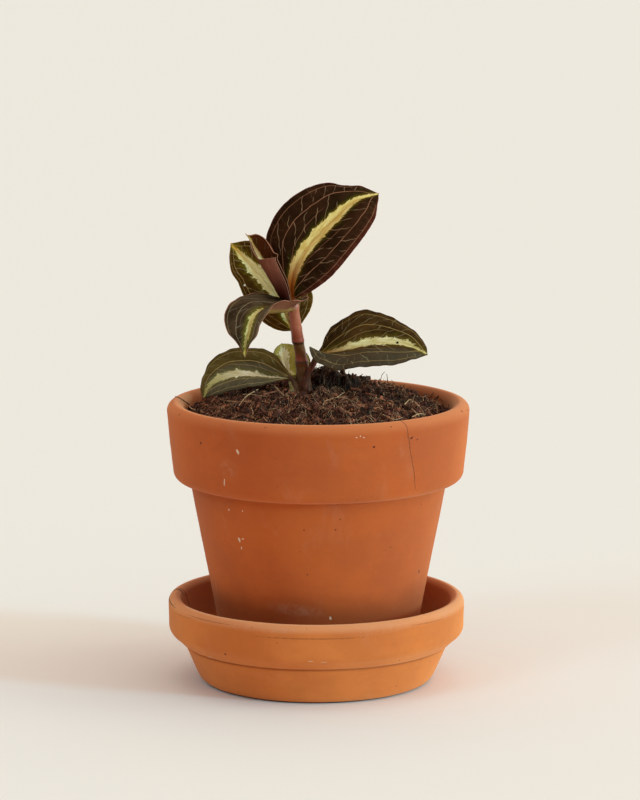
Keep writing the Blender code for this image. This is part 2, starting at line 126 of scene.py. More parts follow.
class Graph:
    """A shader node tree with short calls that add nodes and join them."""

    def __init__(self, tree: bpy.types.NodeTree) -> None:
        """Hold the tree that new nodes go into."""
        self.tree = tree

    def node(self, kind: str, inputs: dict | None = None, **settings: object) -> bpy.types.Node:
        """Add one node.

        Args:
            kind: The node's type.
            inputs: A value, number, vector or colour for each input, by the input's name or number.
            settings: Properties of the node, such as its operation.

        Returns:
            The new node.
        """
        made = self.tree.nodes.new(kind)
        for key, value in settings.items():
            setattr(made, key, value)
        self.feed(made, inputs or {})
        return made

    def feed(self, made: bpy.types.Node, inputs: dict) -> None:
        """Link inputs of a node to values, or set their own numbers.

        Args:
            made: The node.
            inputs: A value, number, vector or colour for each input, by the input's name or number.
        """
        for key, value in inputs.items():
            socket = made.inputs[key]
            if isinstance(value, Value):
                self.tree.links.new(value.socket, socket)
            elif socket.type == "RGBA":
                socket.default_value = (*value[:3], 1.0)
            else:
                socket.default_value = value

    def value(self, kind: str, inputs: dict | None = None, output: int | str = 0, **settings: object) -> Value:
        """Add one node and return one of its outputs."""
        return Value(self, self.node(kind, inputs, **settings).outputs[output])

    def calc(self, operation: str, first: object, second: object = 0.0) -> Value:
        """Return the result of a Math node."""
        return self.value("ShaderNodeMath", {0: first, 1: second}, operation=operation)

    def most(self, *values: object) -> Value:
        """Return the greatest of several values."""
        return reduce(lambda first, second: self.calc("MAXIMUM", first, second), values)

    def fade(self, value: object, low: object, high: object, start: object = 0.0, end: object = 1.0) -> Value:
        """Return a smooth change from start to end as the value goes from low to high."""
        return self.value("ShaderNodeMapRange", {0: value, 1: low, 2: high, 3: start, 4: end},
                          interpolation_type="SMOOTHSTEP")

    def blend(self, share: object, first: object, second: object) -> Value:
        """Return two colours mixed by a share."""
        return self.value("ShaderNodeMix", {0: share, 6: first, 7: second}, 2, data_type="RGBA")

    def noise(self, place: Value, size: float, detail: float = 2.0, roughness: float = 0.5,
              warp: float = 0.0) -> Value:
        """Return cloudy noise, from 0 to 1, whose features are about the given size."""
        return self.value("ShaderNodeTexNoise", {"Vector": place, "Scale": 1.0 / size, "Detail": detail,
                                                 "Roughness": roughness, "Distortion": warp})

    def cells(self, place: Value, size: float, feature: str = "DISTANCE_TO_EDGE") -> Value:
        """Return the distance, in cells, to the edge or middle of random cells of the given size."""
        return self.value("ShaderNodeTexVoronoi", {"Vector": place, "Scale": 1.0 / size}, "Distance", feature=feature)

    def stripes(self, at: Value, spacing: float, half_width: float, slope: float) -> Value:
        """Return thin soft lines wherever a distance in mm passes a multiple of the spacing."""
        off = abs(self.calc("FRACT", at / spacing) - 0.5) * (spacing * slope)
        return self.fade(off, half_width + 0.07, half_width - 0.05)

    def vector(self, x: object, y: object, z: object = 0.0) -> Value:
        """Return three numbers as a vector."""
        return self.value("ShaderNodeCombineXYZ", {0: x, 1: y, 2: z})

    def axes(self, place: Value) -> tuple[Value, ...]:
        """Return a vector's x, y and z."""
        return tuple(Value(self, part) for part in self.node("ShaderNodeSeparateXYZ", {0: place}).outputs)

    def stretched(self, place: Value, scale: Point) -> Value:
        """Return a place scaled along each axis."""
        return self.value("ShaderNodeMapping", {"Vector": place, "Scale": scale})

    def apart(self, first: Value, second: Point) -> Value:
        """Return the distance between two places."""
        return self.value("ShaderNodeVectorMath", {0: first, 1: second}, "Value", operation="DISTANCE")

    def object_mm(self) -> Value:
        """Return the surface's place on its object, in millimetres."""
        return self.stretched(self.value("ShaderNodeTexCoord", output="Object"), (1.0 / MM,) * 3)

    def bump(self, height: Value, strength: float) -> Value:
        """Return the normal of a surface raised by a height in millimetres."""
        return self.value("ShaderNodeBump", {"Height": height, "Strength": strength, "Distance": MM})


def shader_group(name: str, inputs: tuple[str, ...],
                 outputs: tuple[str, ...]) -> tuple[Graph, dict[str, Value], bpy.types.Node]:
    """Start a shader node group.

    Args:
        name: The group's name.
        inputs: The inputs' names. Place is a vector, and the others are numbers.
        outputs: The outputs' names, all numbers.

    Returns:
        The group's graph, its inputs' values by name, and its output node.
    """
    tree = bpy.data.node_groups.new(name, "ShaderNodeTree")
    for direction, labels in (("INPUT", inputs), ("OUTPUT", outputs)):
        for label in labels:
            kind = "NodeSocketVector" if label == "Place" else "NodeSocketFloat"
            tree.interface.new_socket(label, in_out=direction, socket_type=kind)
    graph = Graph(tree)
    source = graph.node("NodeGroupInput")
    return graph, {label: Value(graph, source.outputs[label]) for label in inputs}, graph.node("NodeGroupOutput")


def use_group(graph: Graph, name: str, inputs: dict) -> dict[str, Value]:
    """Place a shader group in a material's graph and return its outputs by name."""
    made = graph.node("ShaderNodeGroup", inputs, node_tree=bpy.data.node_groups[name])
    return {socket.name: Value(graph, socket) for socket in made.outputs}


def new_material(name: str) -> tuple[bpy.types.Material, Graph, bpy.types.Node]:
    """Start a material.

    Args:
        name: The material's name.

    Returns:
        The material, its graph and its Principled shader.
    """
    made = bpy.data.materials.new(name)
    made.use_nodes = True
    return made, Graph(made.node_tree), made.node_tree.nodes["Principled BSDF"]


class SharedGroups:
    """The shader groups that more than one material places."""

    @staticmethod
    def fired_clay() -> None:
        """Build unglazed clay: broad tone, turning streaks, dark specks and a sandy height in millimetres."""
        graph, given, out = shader_group("fired_clay", ("Place", "Seed"), ("Tone", "Specks", "Dust", "Height"))
        offset = graph.vector(given["Seed"], given["Seed"], given["Seed"])
        place = graph.value("ShaderNodeVectorMath", {0: given["Place"], 1: offset}, operation="ADD")
        broad = graph.noise(place, 34.0, 3.0, 0.55)
        streaks = graph.noise(graph.stretched(place, (0.06, 0.06, 1.0)), 1.9, 3.0, 0.6)
        fine = graph.noise(place, 2.2, 4.0, 0.65)
        mixed = broad * 0.74 + (streaks * 0.09 + fine * 0.17)
        graph.feed(out, {"Tone": graph.fade(mixed, 0.36, 0.64)})
        dots = graph.cells(place, 4.6, "F1")
        rare = graph.fade(graph.noise(place, 7.0, 1.0), 0.52, 0.62)
        graph.feed(out, {"Specks": graph.fade(dots, 0.085, 0.045) * rare})
        bloom = graph.noise(graph.stretched(place, (1.0, 1.0, 0.55)), 12.0, 5.0, 0.62, 0.5)
        graph.feed(out, {"Dust": graph.fade(bloom, 0.56, 0.74)})
        sand = graph.noise(place, 0.42, 3.0, 0.7) * 0.045
        waves = streaks * 0.035 + (fine * 0.05 + sand)
        pits = graph.fade(graph.cells(place, 1.7, "F1"), 0.16, 0.05) * -0.05
        graph.feed(out, {"Height": waves + pits})

    @staticmethod
    def leaf_pattern() -> None:
        """Build a jewel orchid's pattern from the place on the blade.

        Along goes from 0 at the foot to 1 at the tip, Across from -1 to 1 between the margins, and Run and Half are
        the distance along the midrib and the half width there, in millimetres.
        """
        graph, given, out = shader_group(
            "leaf_pattern",
            ("Along", "Across", "Run", "Half", "Seed", "Band", "Widest", "Feather", "Shift", "Main", "Outer", "Rungs"),
            ("Band", "Streaks", "Halo", "Flame", "Veins", "Net", "Margin", "Mottle", "Height"))
        along, across, run, half, seed = (given[key] for key in ("Along", "Across", "Run", "Half", "Seed"))
        reach = (across - given["Shift"] * (along - 0.62)) * half
        on_blade = graph.vector(run, reach, seed)
        side = abs(across)
        hand = graph.calc("SIGN", across)
        away = abs(reach)

        bend = graph.noise(on_blade, 3.0, 2.0) * 2.6
        slant = run + bend - away * 2.3
        lane = graph.calc("SIGN", reach) * 7.0 + seed
        outward = away * 0.3
        barbs = graph.noise(graph.vector(slant, lane, outward), 0.80, 4.0, 0.65)
        streaks = graph.noise(graph.vector(slant, lane + 90.0, outward), 1.1, 4.0, 0.65)
        drawn_out = graph.vector(run * 0.22, reach * 1.3, seed)
        grainy = graph.noise(drawn_out, 0.9, 3.0) * 0.75 + streaks * 0.25
        tongues = graph.noise(graph.vector(run, lane + 40.0), 2.6, 2.0, 0.6)
        lively = graph.noise(graph.vector(run, lane + 60.0), 2.2, 2.0, 0.6)
        arch = graph.calc("SINE", along ** given["Widest"] * math.pi)
        taper = graph.fade(along, 0.72, 1.02, 1.0, 0.35)
        wide = (arch * 0.72 + 0.36) * (taper * given["Band"])
        flare = graph.fade(tongues, 0.45, 0.75, -0.2, 1.0)
        edge = wide * (flare * given["Feather"] + 1.0)
        soft = given["Feather"] * 0.9 + 0.22
        depth = (edge - away) / soft
        frayed = (barbs - 0.5) * graph.fade(lively, 0.38, 0.66, 2.0, 6.5) + depth
        band = graph.fade(frayed, -0.30, 0.30)
        grit = graph.cells(on_blade, 1.5, "F1")
        holes = graph.fade(grit, 0.17, 0.09) * graph.fade(graph.noise(graph.vector(run, reach, 9.0), 3.0), 0.55, 0.62)
        graph.feed(out, {
            "Band": band * (holes * -0.8 + 1.0),
            "Streaks": graph.fade(grainy, 0.36, 0.64),
            "Halo": graph.fade(frayed, -2.6, -0.1)})
        patches = graph.noise(graph.vector(slant, reach, seed), 3.4, 3.0, 0.6)
        rim = graph.fade(patches, 0.4, 0.68) * 3.0 + edge
        zone = (streaks - 0.5) * 5.0 + (rim - away)
        graph.feed(out, {"Flame": graph.fade(zone, -0.9, 1.1)})

        wander = graph.noise(graph.vector(run, hand, seed), 7.0, 2.0) * 0.12 - 0.06
        base = graph.fade(along, 0.0, 0.55, 0.45, 1.0)
        closing = base * graph.fade(along, 0.84, 1.0, 1.0, 0.35)
        main = given["Main"] * closing + wander
        outer = given["Outer"] * graph.fade(along, 0.0, 0.5, 0.84, 1.0) + wander * 0.4
        near = graph.fade(along, 0.12, 0.8) * 0.26 + (wander * 1.2 + 0.13)
        lines = []
        for course, half_line, strength in ((main, 0.13, 1.0), (outer, 0.11, 0.8), (near, 0.10, 0.65)):
            gap = abs(side - course) * half
            lines.append(graph.fade(gap, half_line + 0.08, half_line - 0.08) * strength)
        lines[1] *= graph.fade(along, 0.95, 0.85)
        lines[2] *= graph.fade(along, 0.74, 0.6)
        broken = graph.fade(graph.noise(on_blade, 5.0, 2.0), 0.30, 0.48, 0.55, 1.0)
        veins = graph.most(*lines)
        graph.feed(out, {"Veins": veins * broken})

        drift = graph.noise(graph.vector(run, reach, seed + 3.0), 4.5, 2.0) * 4.2
        beyond = graph.calc("GREATER_THAN", side, main)
        start = beyond * 2.7 + lane * 1.3
        branch_at = run + drift + start - away * 1.15
        shown = graph.fade(graph.noise(graph.vector(run, reach, 17.0), 4.0, 1.0), 0.44, 0.56)
        branch = graph.stripes(branch_at, 5.2, 0.10, 0.66) * shown * graph.fade(along, 0.08, 0.2)
        branch *= graph.fade(side - outer, 0.02, -0.02)
        rung_at = drift * 0.9 + run - away * 0.1
        present = graph.fade(graph.noise(graph.vector(run, hand, 31.0), 3.0, 1.0), 0.44, 0.54, 0.1, given["Rungs"])
        below_main = graph.fade(side - (main * 0.5 + 0.38), -0.02, 0.02)
        rungs = graph.stripes(rung_at, 2.6, 0.06, 0.9) * present * below_main * graph.fade(side, 0.99, 0.94)
        net = graph.most(branch, rungs)
        graph.feed(out, {
            "Net": net,
            "Margin": graph.fade((1.0 - side) * half, 0.42, 0.14)})
        cloud = graph.noise(on_blade, 4.2, 4.0, 0.65, 0.4)
        broad = graph.noise(graph.vector(run, reach, seed + 50.0), 11.0, 2.0)
        graph.feed(out, {"Mottle": graph.fade(broad * 0.8 + cloud, 0.62, 1.18)})
        cells = graph.cells(graph.vector(run + drift, reach, seed), 3.4)
        raised = graph.fade(cells, 0.0, 0.3) * 0.055
        grain = graph.noise(graph.vector(run, reach, 1.0), 0.3, 2.0) * 0.022
        sunk = graph.most(veins, net) * -0.06
        graph.feed(out, {"Height": raised + grain + sunk})

    @classmethod
    def build(cls) -> None:
        """Build every shared group."""
        cls.fired_clay()
        cls.leaf_pattern()


@dataclass(frozen=True)
class Mark:
    """A small chip, scuff or speck on a turned piece: where it is, its half sizes in mm and its lean in degrees."""

    turn: float
    height: float
    half_width: float
    half_height: float
    lean: float = 0.0


@dataclass(frozen=True)
class Crack:
    """A hairline crack that climbs a turned wall: its turn at a height, its slope and where it ends."""

    turn: float
    height: float
    slope: float
    low: float
    high: float
    half_width: float = 0.14


@dataclass(frozen=True)
class ClayFinish:
    """Unglazed fired clay, with the marks that its piece carries."""

    name: str
    slot: str
    colour: Colour
    deep: Colour
    # The lip's colour is lighter, partly from wear and partly as a painted highlight on the lip's top.
    lip: Colour
    radius: float
    centre_x: float
    lip_from: float
    lip_to: float
    seed: float
    # Below about this height the clay is darkened, partly as moist clay and partly as painted shade from the saucer's
    # wall.
    damp_and_shade_top: float = -1.0
    chips: tuple[Mark, ...] = ()
    scuffs: tuple[Mark, ...] = ()
    stains: tuple[Mark, ...] = ()
    creases: tuple[Mark, ...] = ()
    cracks: tuple[Crack, ...] = ()
    # Painted shade lines: the height, half height and strength of dark lines where shade falls, under the collar, in
    # the saucer's step and where the saucer meets the floor.
    painted_shade_lines: tuple[Triple, ...] = ()
    # The colour of the inner wall near the top. On the pot this is a paler, greyer wall. On the saucer it is darker,
    # as painted shade inside the saucer.
    inner_wall_and_shade: Colour = tone(168, 112, 74)
    inside_radius: float = 51.0
    inside_above: float = 90.0
    chalk: Colour = tone(226, 196, 168)
    dark: Colour = tone(92, 36, 18)
    lip_share: float = 0.55
    dust_share: float = 0.05
    damp_and_shade_share: float = 0.62
    speck_share: float = 0.75
    crease_share: float = 0.34
    crack_share: float = 0.75
    chip_share: float = 0.92
    pit_depth: float = 0.12

    def mark_mask(self, graph: Graph, turn: Value, height: Value, rough: Value, mark: Mark) -> Value:
        """Return the mask of one mark, with a ragged edge.

        Args:
            graph: The material's graph.
            turn: The turn about the axis, in radians.
            height: The height in millimetres.
            rough: Noise that makes the edge ragged.
            mark: The mark.

        Returns:
            The mask.
        """
        flat = (turn - math.radians(mark.turn)) * self.radius
        rise = height - mark.height
        lean = math.radians(mark.lean)
        wide = flat * math.cos(lean) + rise * math.sin(lean)
        tall = rise * math.cos(lean) - flat * math.sin(lean)
        first = (wide / mark.half_width) ** 2.0
        second = (tall / mark.half_height) ** 2.0
        away = graph.calc("SQRT", first + second)
        return graph.fade(rough * 2.2 + away, 2.3, 1.8)

    def crack_mask(self, graph: Graph, turn: Value, height: Value, wander: Value, crack: Crack) -> Value:
        """Return the mask of one hairline crack.

        Args:
            graph: The material's graph.
            turn: The turn about the axis, in radians.
            height: The height in millimetres.
            wander: How far the crack strays from its course, in millimetres.
            crack: The crack.

        Returns:
            The mask.
        """
        course = (height - crack.height) * math.radians(crack.slope) + math.radians(crack.turn)
        off = (turn - course) * self.radius + wander
        line = graph.fade(abs(off), crack.half_width + 0.07, crack.half_width - 0.07)
        ends = graph.fade(height, crack.low, crack.low + 2.0) * graph.fade(height, crack.high + 0.5, crack.high - 0.5)
        return line * ends

    def marked(self, graph: Graph, turn: Value, height: Value, rough: Value, marks: tuple[Mark, ...]) -> Value:
        """Return the strongest mask of several marks."""
        return graph.most(*(self.mark_mask(graph, turn, height, rough, mark) for mark in marks))

    def material(self) -> bpy.types.Material:
        """Build the clay's material.

        Returns:
            The material.
        """
        made, graph, shader = new_material(self.name)
        place = graph.object_mm()
        clay = use_group(graph, "fired_clay", {"Place": place, "Seed": self.seed})
        x, y, height = graph.axes(place)
        turn = graph.calc("ARCTAN2", x - self.centre_x, y * -1.0)
        rough = graph.noise(place, 0.9, 3.0, 0.6)
        colour = graph.blend(clay["Tone"], self.deep, self.colour)
        colour = graph.blend(clay["Dust"] * self.dust_share, colour, self.chalk)
        # Painted highlight and wear: a lighter band over the lip.
        band = graph.fade(height, self.lip_from, self.lip_to) * self.lip_share
        colour = graph.blend(band, colour, self.lip)
        # The inner wall takes its own colour. Inside the saucer this darker colour is painted shade.
        flat = graph.vector(x - self.centre_x, y)
        off_axis = graph.value("ShaderNodeVectorMath", {0: flat}, "Value", operation="LENGTH")
        within = (graph.fade(off_axis, self.inside_radius + 0.6, self.inside_radius - 0.6)
                  * graph.fade(height, self.inside_above, self.inside_above + 0.5, 0.0, 0.6))
        colour = graph.blend(within, colour, self.inner_wall_and_shade)
        # Painted shade: dark lines in the tuck under the collar, in the saucer's step and along the saucer's foot on
        # the floor.
        for at, half_height, strength in self.painted_shade_lines:
            gap = abs(height - at)
            line = graph.fade(gap, half_height * 1.5, half_height * 0.3, 0.0, strength)
            colour = graph.blend(line, colour, self.dark)
        # Painted shade and moisture: the foot of the pot is darkened for dampness and for the shade of the saucer's
        # wall.
        if self.damp_and_shade_top > 0:
            edge = graph.noise(place, 16.0, 3.0, 0.6) * 10.0 + height
            darkening = graph.fade(edge, self.damp_and_shade_top + 7.0, self.damp_and_shade_top - 5.0)
            colour = graph.blend(darkening * self.damp_and_shade_share, colour, self.deep_damp_and_shade())
        if self.scuffs:
            soft = graph.noise(place, 4.5, 5.0, 0.7, 1.0)
            scuffed = self.marked(graph, turn, height, soft, self.scuffs)
            veil = scuffed * graph.fade(soft, 0.4, 0.7, 0.01, 0.1)
            colour = graph.blend(veil, colour, self.chalk)
        specks = clay["Specks"] * self.speck_share
        if self.stains:
            spots = self.marked(graph, turn, height, rough, self.stains)
            specks = graph.most(specks, spots)
        if self.creases:
            soft_lines = self.marked(graph, turn, height, rough, self.creases)
            specks = graph.most(specks, soft_lines * self.crease_share)
        sunk = specks
        if self.cracks:
            wander = graph.noise(place, 3.2, 3.0, 0.6) * 1.6 - 0.8
            split = graph.most(*(self.crack_mask(graph, turn, height, wander, crack) for crack in self.cracks))
            specks = graph.most(specks, split * self.crack_share)
            sunk = split * 3.0 + sunk
        colour = graph.blend(specks, colour, self.dark)
        if self.chips:
            flakes = self.marked(graph, turn, height, rough, self.chips)
            colour = graph.blend(flakes * self.chip_share, colour, self.chalk)
            sunk = graph.most(sunk, flakes)
        relief = clay["Height"] - sunk * self.pit_depth
        graph.feed(shader, {
            "Base Color": colour,
            "Roughness": graph.fade(clay["Tone"], 0.0, 1.0, 0.8, 0.92),
            "Normal": graph.bump(relief, 0.8),
            "Diffuse Roughness": 0.9,
            "Specular IOR Level": 0.22,
            "Sheen Weight": 0.18,
            "Sheen Roughness": 0.45,
            "Sheen Tint": tone(255, 208, 168)})
        return made

    def deep_damp_and_shade(self) -> Colour:
        """Return the colour of this clay where it is moist and where the saucer's shade is painted on it."""
        return tuple(channel * share for channel, share in zip(self.deep, (0.52, 0.44, 0.42)))


@dataclass(frozen=True)
class Spot:
    """A small round spot on a leaf: its place along and across in mm, its radius and its colour."""

    run: float
    reach: float
    radius: float
    colour: Colour


@dataclass(frozen=True)
class LeafFinish:
    """A jewel orchid leaf: its blade, pale midrib band, veins, margin and underside."""

    name: str
    slot: str
    blade: Colour
    cloud: Colour
    flame: Colour
    seed: float
    band: Colour = tone(214, 200, 128)
    band_pale: Colour = tone(232, 224, 178)
    band_foot: Colour = tone(150, 84, 34)
    band_tip: Colour = tone(200, 182, 84)
    halo: Colour = tone(112, 102, 30)
    vein: Colour = tone(158, 104, 78)
    net: Colour = tone(166, 150, 112)
    margin: Colour = tone(86, 36, 30)
    under: Colour = tone(128, 80, 72)
    under_rib: Colour = tone(150, 92, 84)
    band_half: float = 1.7
    widest: float = 1.0
    feather: float = 0.42
    shift: float = 0.0
    main_vein: float = 0.58
    outer_vein: float = 0.87
    vein_share: float = 0.58
    net_share: float = 0.42
    rungs: float = 0.35
    foot_until: float = 0.30
    tip_from: float = 0.84
    roughness: float = 0.68
    gloss: float = 0.012
    # A tint over one side of the blade, past low_from. On the two low leaves it is a grey painted sheen. On the
    # upright leaf it is a reddish edge of the leaf's own.
    low_side: float = 0.0
    low_from: float = -0.05
    low_tint_and_sheen: Colour = tone(60, 60, 46)
    under_foot: Colour = tone(84, 44, 34)
    under_foot_until: float = 0.0
    flame_share: float = 0.72
    halo_share: float = 0.62
    margin_share: float = 0.8
    under_vein_share: float = 0.3
    under_mottle_share: float = 0.25
    under_margin_share: float = 0.6
    spots: tuple[Spot, ...] = ()

    def material(self) -> bpy.types.Material:
        """Build the leaf's material.

        Returns:
            The material.
        """
        made, graph, shader = new_material(self.name)
        station = graph.value("ShaderNodeUVMap", uv_map="station")
        blade_mm = graph.value("ShaderNodeUVMap", uv_map="blade_mm")
        along, across, _ = graph.axes(station)
        run, half, _ = graph.axes(blade_mm)
        out = use_group(graph, "leaf_pattern", {
            "Along": along, "Across": across, "Run": run, "Half": half, "Band": self.band_half,
            "Widest": self.widest, "Feather": self.feather, "Shift": self.shift, "Main": self.main_vein,
            "Outer": self.outer_vein, "Rungs": self.rungs, "Seed": self.seed})
        upper = graph.blend(out["Mottle"], self.blade, self.cloud)
        # One side of the blade is tinted: a grey painted sheen on the low leaves, and the leaf's own reddish edge on
        # the upright one.
        if self.low_side:
            lower = graph.fade(across * self.low_side, self.low_from, self.low_from + 0.2, 0.0, 0.7)
            upper = graph.blend(lower, upper, self.low_tint_and_sheen)
        upper = graph.blend(out["Flame"] * self.flame_share, upper, self.flame)
        upper = graph.blend(out["Halo"] * self.halo_share, upper, self.halo)
        upper = graph.blend(out["Net"] * self.net_share, upper, self.net)
        upper = graph.blend(out["Veins"] * self.vein_share, upper, self.vein)
        pale = graph.blend(out["Streaks"], self.band, self.band_pale)
        pale = graph.blend(graph.fade(along, self.foot_until, self.foot_until * 0.35), pale, self.band_foot)
        pale = graph.blend(graph.fade(along, self.tip_from, 0.97), pale, self.band_tip)
        upper = graph.blend(out["Band"], upper, pale)
        upper = graph.blend(out["Margin"] * self.margin_share, upper, self.margin)
        reach = abs(across * half)
        below = graph.blend(graph.fade(reach, 1.5, 0.4), self.under, self.under_rib)
        below = graph.blend(out["Veins"] * self.under_vein_share, below, self.under_rib)
        below = graph.blend(out["Mottle"] * self.under_mottle_share, below, self.blade)
        if self.under_foot_until:
            foot = graph.fade(along, self.under_foot_until, self.under_foot_until * 0.3)
            below = graph.blend(foot, below, self.under_foot)
        below = graph.blend(out["Margin"] * self.under_margin_share, below, self.margin)
        place = graph.vector(run, across * half)
        for spot in self.spots:
            away = graph.apart(place, (spot.run, spot.reach, 0.0))
            mask = graph.fade(away, spot.radius + 0.15, spot.radius - 0.15)
            upper = graph.blend(mask, upper, spot.colour)
        side = graph.value("ShaderNodeAttribute", output="Fac", attribute_name="side")
        graph.feed(shader, {
            "Base Color": graph.blend(graph.fade(side, 0.35, 0.65), upper, below),
            "Roughness": graph.fade(out["Mottle"], 0.0, 1.0, self.roughness + 0.06, self.roughness - 0.05),
            "Normal": graph.bump(out["Height"], 0.9),
            "Specular IOR Level": self.gloss})
        return made


@dataclass(frozen=True)
class StemFinish:
    """The fleshy stem, whose colour changes with height."""

    name: str = "stem"
    slot: str = "stem"
    soil_end: Colour = tone(64, 38, 20)
    olive: Colour = tone(92, 58, 22)
    red: Colour = tone(138, 60, 38)
    pink: Colour = tone(166, 88, 60)
    ring: Colour = tone(48, 26, 14)
    ring_heights: tuple[float, ...] = (123.6, 116.4)
    soil_end_until: Pair = (108.0, 113.0)
    red_from: Pair = (115.0, 117.5)
    red_until: Pair = (122.5, 119.5)
    flushed_from: Pair = (123.7, 124.3)
    pink_from: Pair = (131.0, 125.0)

    def material(self) -> bpy.types.Material:
        """Build the stem's material.

        Returns:
            The material.
        """
        made, graph, shader = new_material(self.name)
        place = graph.object_mm()
        height = graph.axes(place)[2]
        lengthwise = graph.noise(graph.stretched(place, (1.0, 1.0, 0.16)), 0.8, 3.0, 0.6)
        blotch = graph.noise(place, 3.5, 3.0, 0.6)
        level = blotch * 3.0 + (height - 1.5)
        colour = graph.blend(graph.fade(level, *self.soil_end_until), self.soil_end, self.olive)
        reddish = graph.fade(level, *self.red_from) * graph.fade(level, *self.red_until)
        colour = graph.blend(reddish * graph.fade(blotch, 0.42, 0.6, 0.2, 1.0), colour, self.red)
        flushed = graph.blend(graph.fade(level, *self.pink_from), self.pink, self.red)
        colour = graph.blend(graph.fade(height, *self.flushed_from), colour, flushed)
        colour = graph.blend(graph.fade(lengthwise, 0.45, 0.65) * 0.35, colour, self.red)
        for at in self.ring_heights:
            off = abs(height - at)
            colour = graph.blend(graph.fade(off, 0.6, 0.2) * 0.75, colour, self.ring)
        relief = lengthwise * 0.09 + blotch * 0.12
        graph.feed(shader, {
            "Base Color": colour,
            "Roughness": graph.fade(lengthwise, 0.0, 1.0, 0.26, 0.42),
            "Normal": graph.bump(relief, 0.8),
            "Specular IOR Level": 0.28})
        return made


@dataclass(frozen=True)
class PlainFinish:
    """A small natural piece in two tones, such as a crumb, a fibre or a sheath."""

    name: str
    slot: str
    light: Colour
    dark: Colour
    patch: float
    roughness: float = 0.85
    clouds: float = 0.0
    # Places where the mix is darkened, each given as x, y and radius: the dark clod, and painted shade under the low
    # leaves and beside the stem.
    dark_and_shaded_places: tuple[Point, ...] = ()
    dark_and_shaded_colour: Colour = tone(24, 12, 4)
    dark_and_shaded_share: float = 0.66
    fine_share: float = 0.16
    cloud_size: float = 7.0

    def material(self) -> bpy.types.Material:
        """Build the material.

        Returns:
            The material.
        """
        made, graph, shader = new_material(self.name)
        place = graph.object_mm()
        broad = graph.noise(place, self.patch, 3.0, 0.65)
        fine = graph.noise(place, self.patch * self.fine_share, 2.0, 0.6)
        share = graph.fade(fine * 0.45 + broad * 0.55, 0.36, 0.64)
        colour = graph.blend(share, self.dark, self.light)
        if self.clouds:
            wide = graph.noise(place, self.cloud_size, 3.0)
            colour = graph.blend(graph.fade(wide, 0.44, 0.60, 0.0, self.clouds), colour, self.dark)
        # Painted shade and dark soil: the mix is darkened at each place.
        for at_x, at_y, radius in self.dark_and_shaded_places:
            x, y, _ = graph.axes(place)
            away = graph.apart(graph.vector(x, y), (at_x, at_y, 0.0)) + broad * 4.0
            darkening = graph.fade(away, radius + 3.0, radius - 1.0, 0.0, self.dark_and_shaded_share)
            colour = graph.blend(darkening, colour, self.dark_and_shaded_colour)
        graph.feed(shader, {
            "Base Color": colour,
            "Roughness": graph.fade(fine, 0.0, 1.0, self.roughness - 0.1, self.roughness),
            "Normal": graph.bump(fine * 0.12, 0.8),
            "Specular IOR Level": 0.12})
        return made


def finish_mesh(name: str, bm: bmesh.types.BMesh, material: bpy.types.Material,
                nodes: tuple[str, ...] = (), sharp_deg: float = 60.0) -> bpy.types.Object:
    """Turn a bmesh in millimetres into a finished piece that rides on the part.

    Args:
        name: The piece's name.
        bm: Its bmesh, which is freed.
        material: Its material.
        nodes: The CAD nodes that it stands for.
        sharp_deg: Edges sharper than this stay crisp.

    Returns:
        The piece's object.
    """
    bmesh.ops.scale(bm, vec=(MM, MM, MM), verts=bm.verts[:])
    mesh = bpy.data.meshes.new(name)
    bm.to_mesh(mesh)
    bm.free()
    return dress(name, mesh, material, nodes, sharp_deg)


def dress(name: str, mesh: bpy.types.Mesh, material: bpy.types.Material,
          nodes: tuple[str, ...] = (), sharp_deg: float = 60.0) -> bpy.types.Object:
    """Give a mesh in metres its object, shading, material and place in the frame.

    Args:
        name: The piece's name.
        mesh: Its mesh.
        material: Its material.
        nodes: The CAD nodes that it stands for.
        sharp_deg: Edges sharper than this stay crisp.

    Returns:
        The piece's object.
    """
    mesh.shade_smooth()
    mesh.set_sharp_from_angle(angle=math.radians(sharp_deg))
    mesh.materials.clear()
    mesh.materials.append(material)
    piece = bpy.data.objects.new(name, mesh)
    bpy.context.scene.collection.objects.link(piece)
    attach(piece, BODY)
    if nodes:
        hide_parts(*nodes)
    triangles = sum(len(face.vertices) - 2 for face in mesh.polygons)
    LOG.info("%s: %d triangles", name, triangles)
    return piece


def arc(centre_r: float, centre_z: float, radius: float, start: float, end: float,
        steps: int) -> list[Pair]:
    """Return points (r, z) along an arc of a turned profile, with its angles in degrees."""
    turns = np.radians(np.linspace(start, end, steps + 1))
    return [(centre_r + radius * math.cos(t), centre_z + radius * math.sin(t)) for t in turns]


def evenly(profile: list[Pair], step: float) -> list[Pair]:
    """Add points to a profile so that none are further apart than a step.

    Args:
        profile: The profile's points.
        step: The longest distance between two points.

    Returns:
        The fuller profile.
    """
    filled = [profile[0]]
    for (r0, z0), (r1, z1) in zip(profile, profile[1:]):
        parts = max(1, math.ceil(math.hypot(r1 - r0, z1 - z0) / step))
        filled += [(r0 + (r1 - r0) * i / parts, z0 + (z1 - z0) * i / parts) for i in range(1, parts + 1)]
    return filled


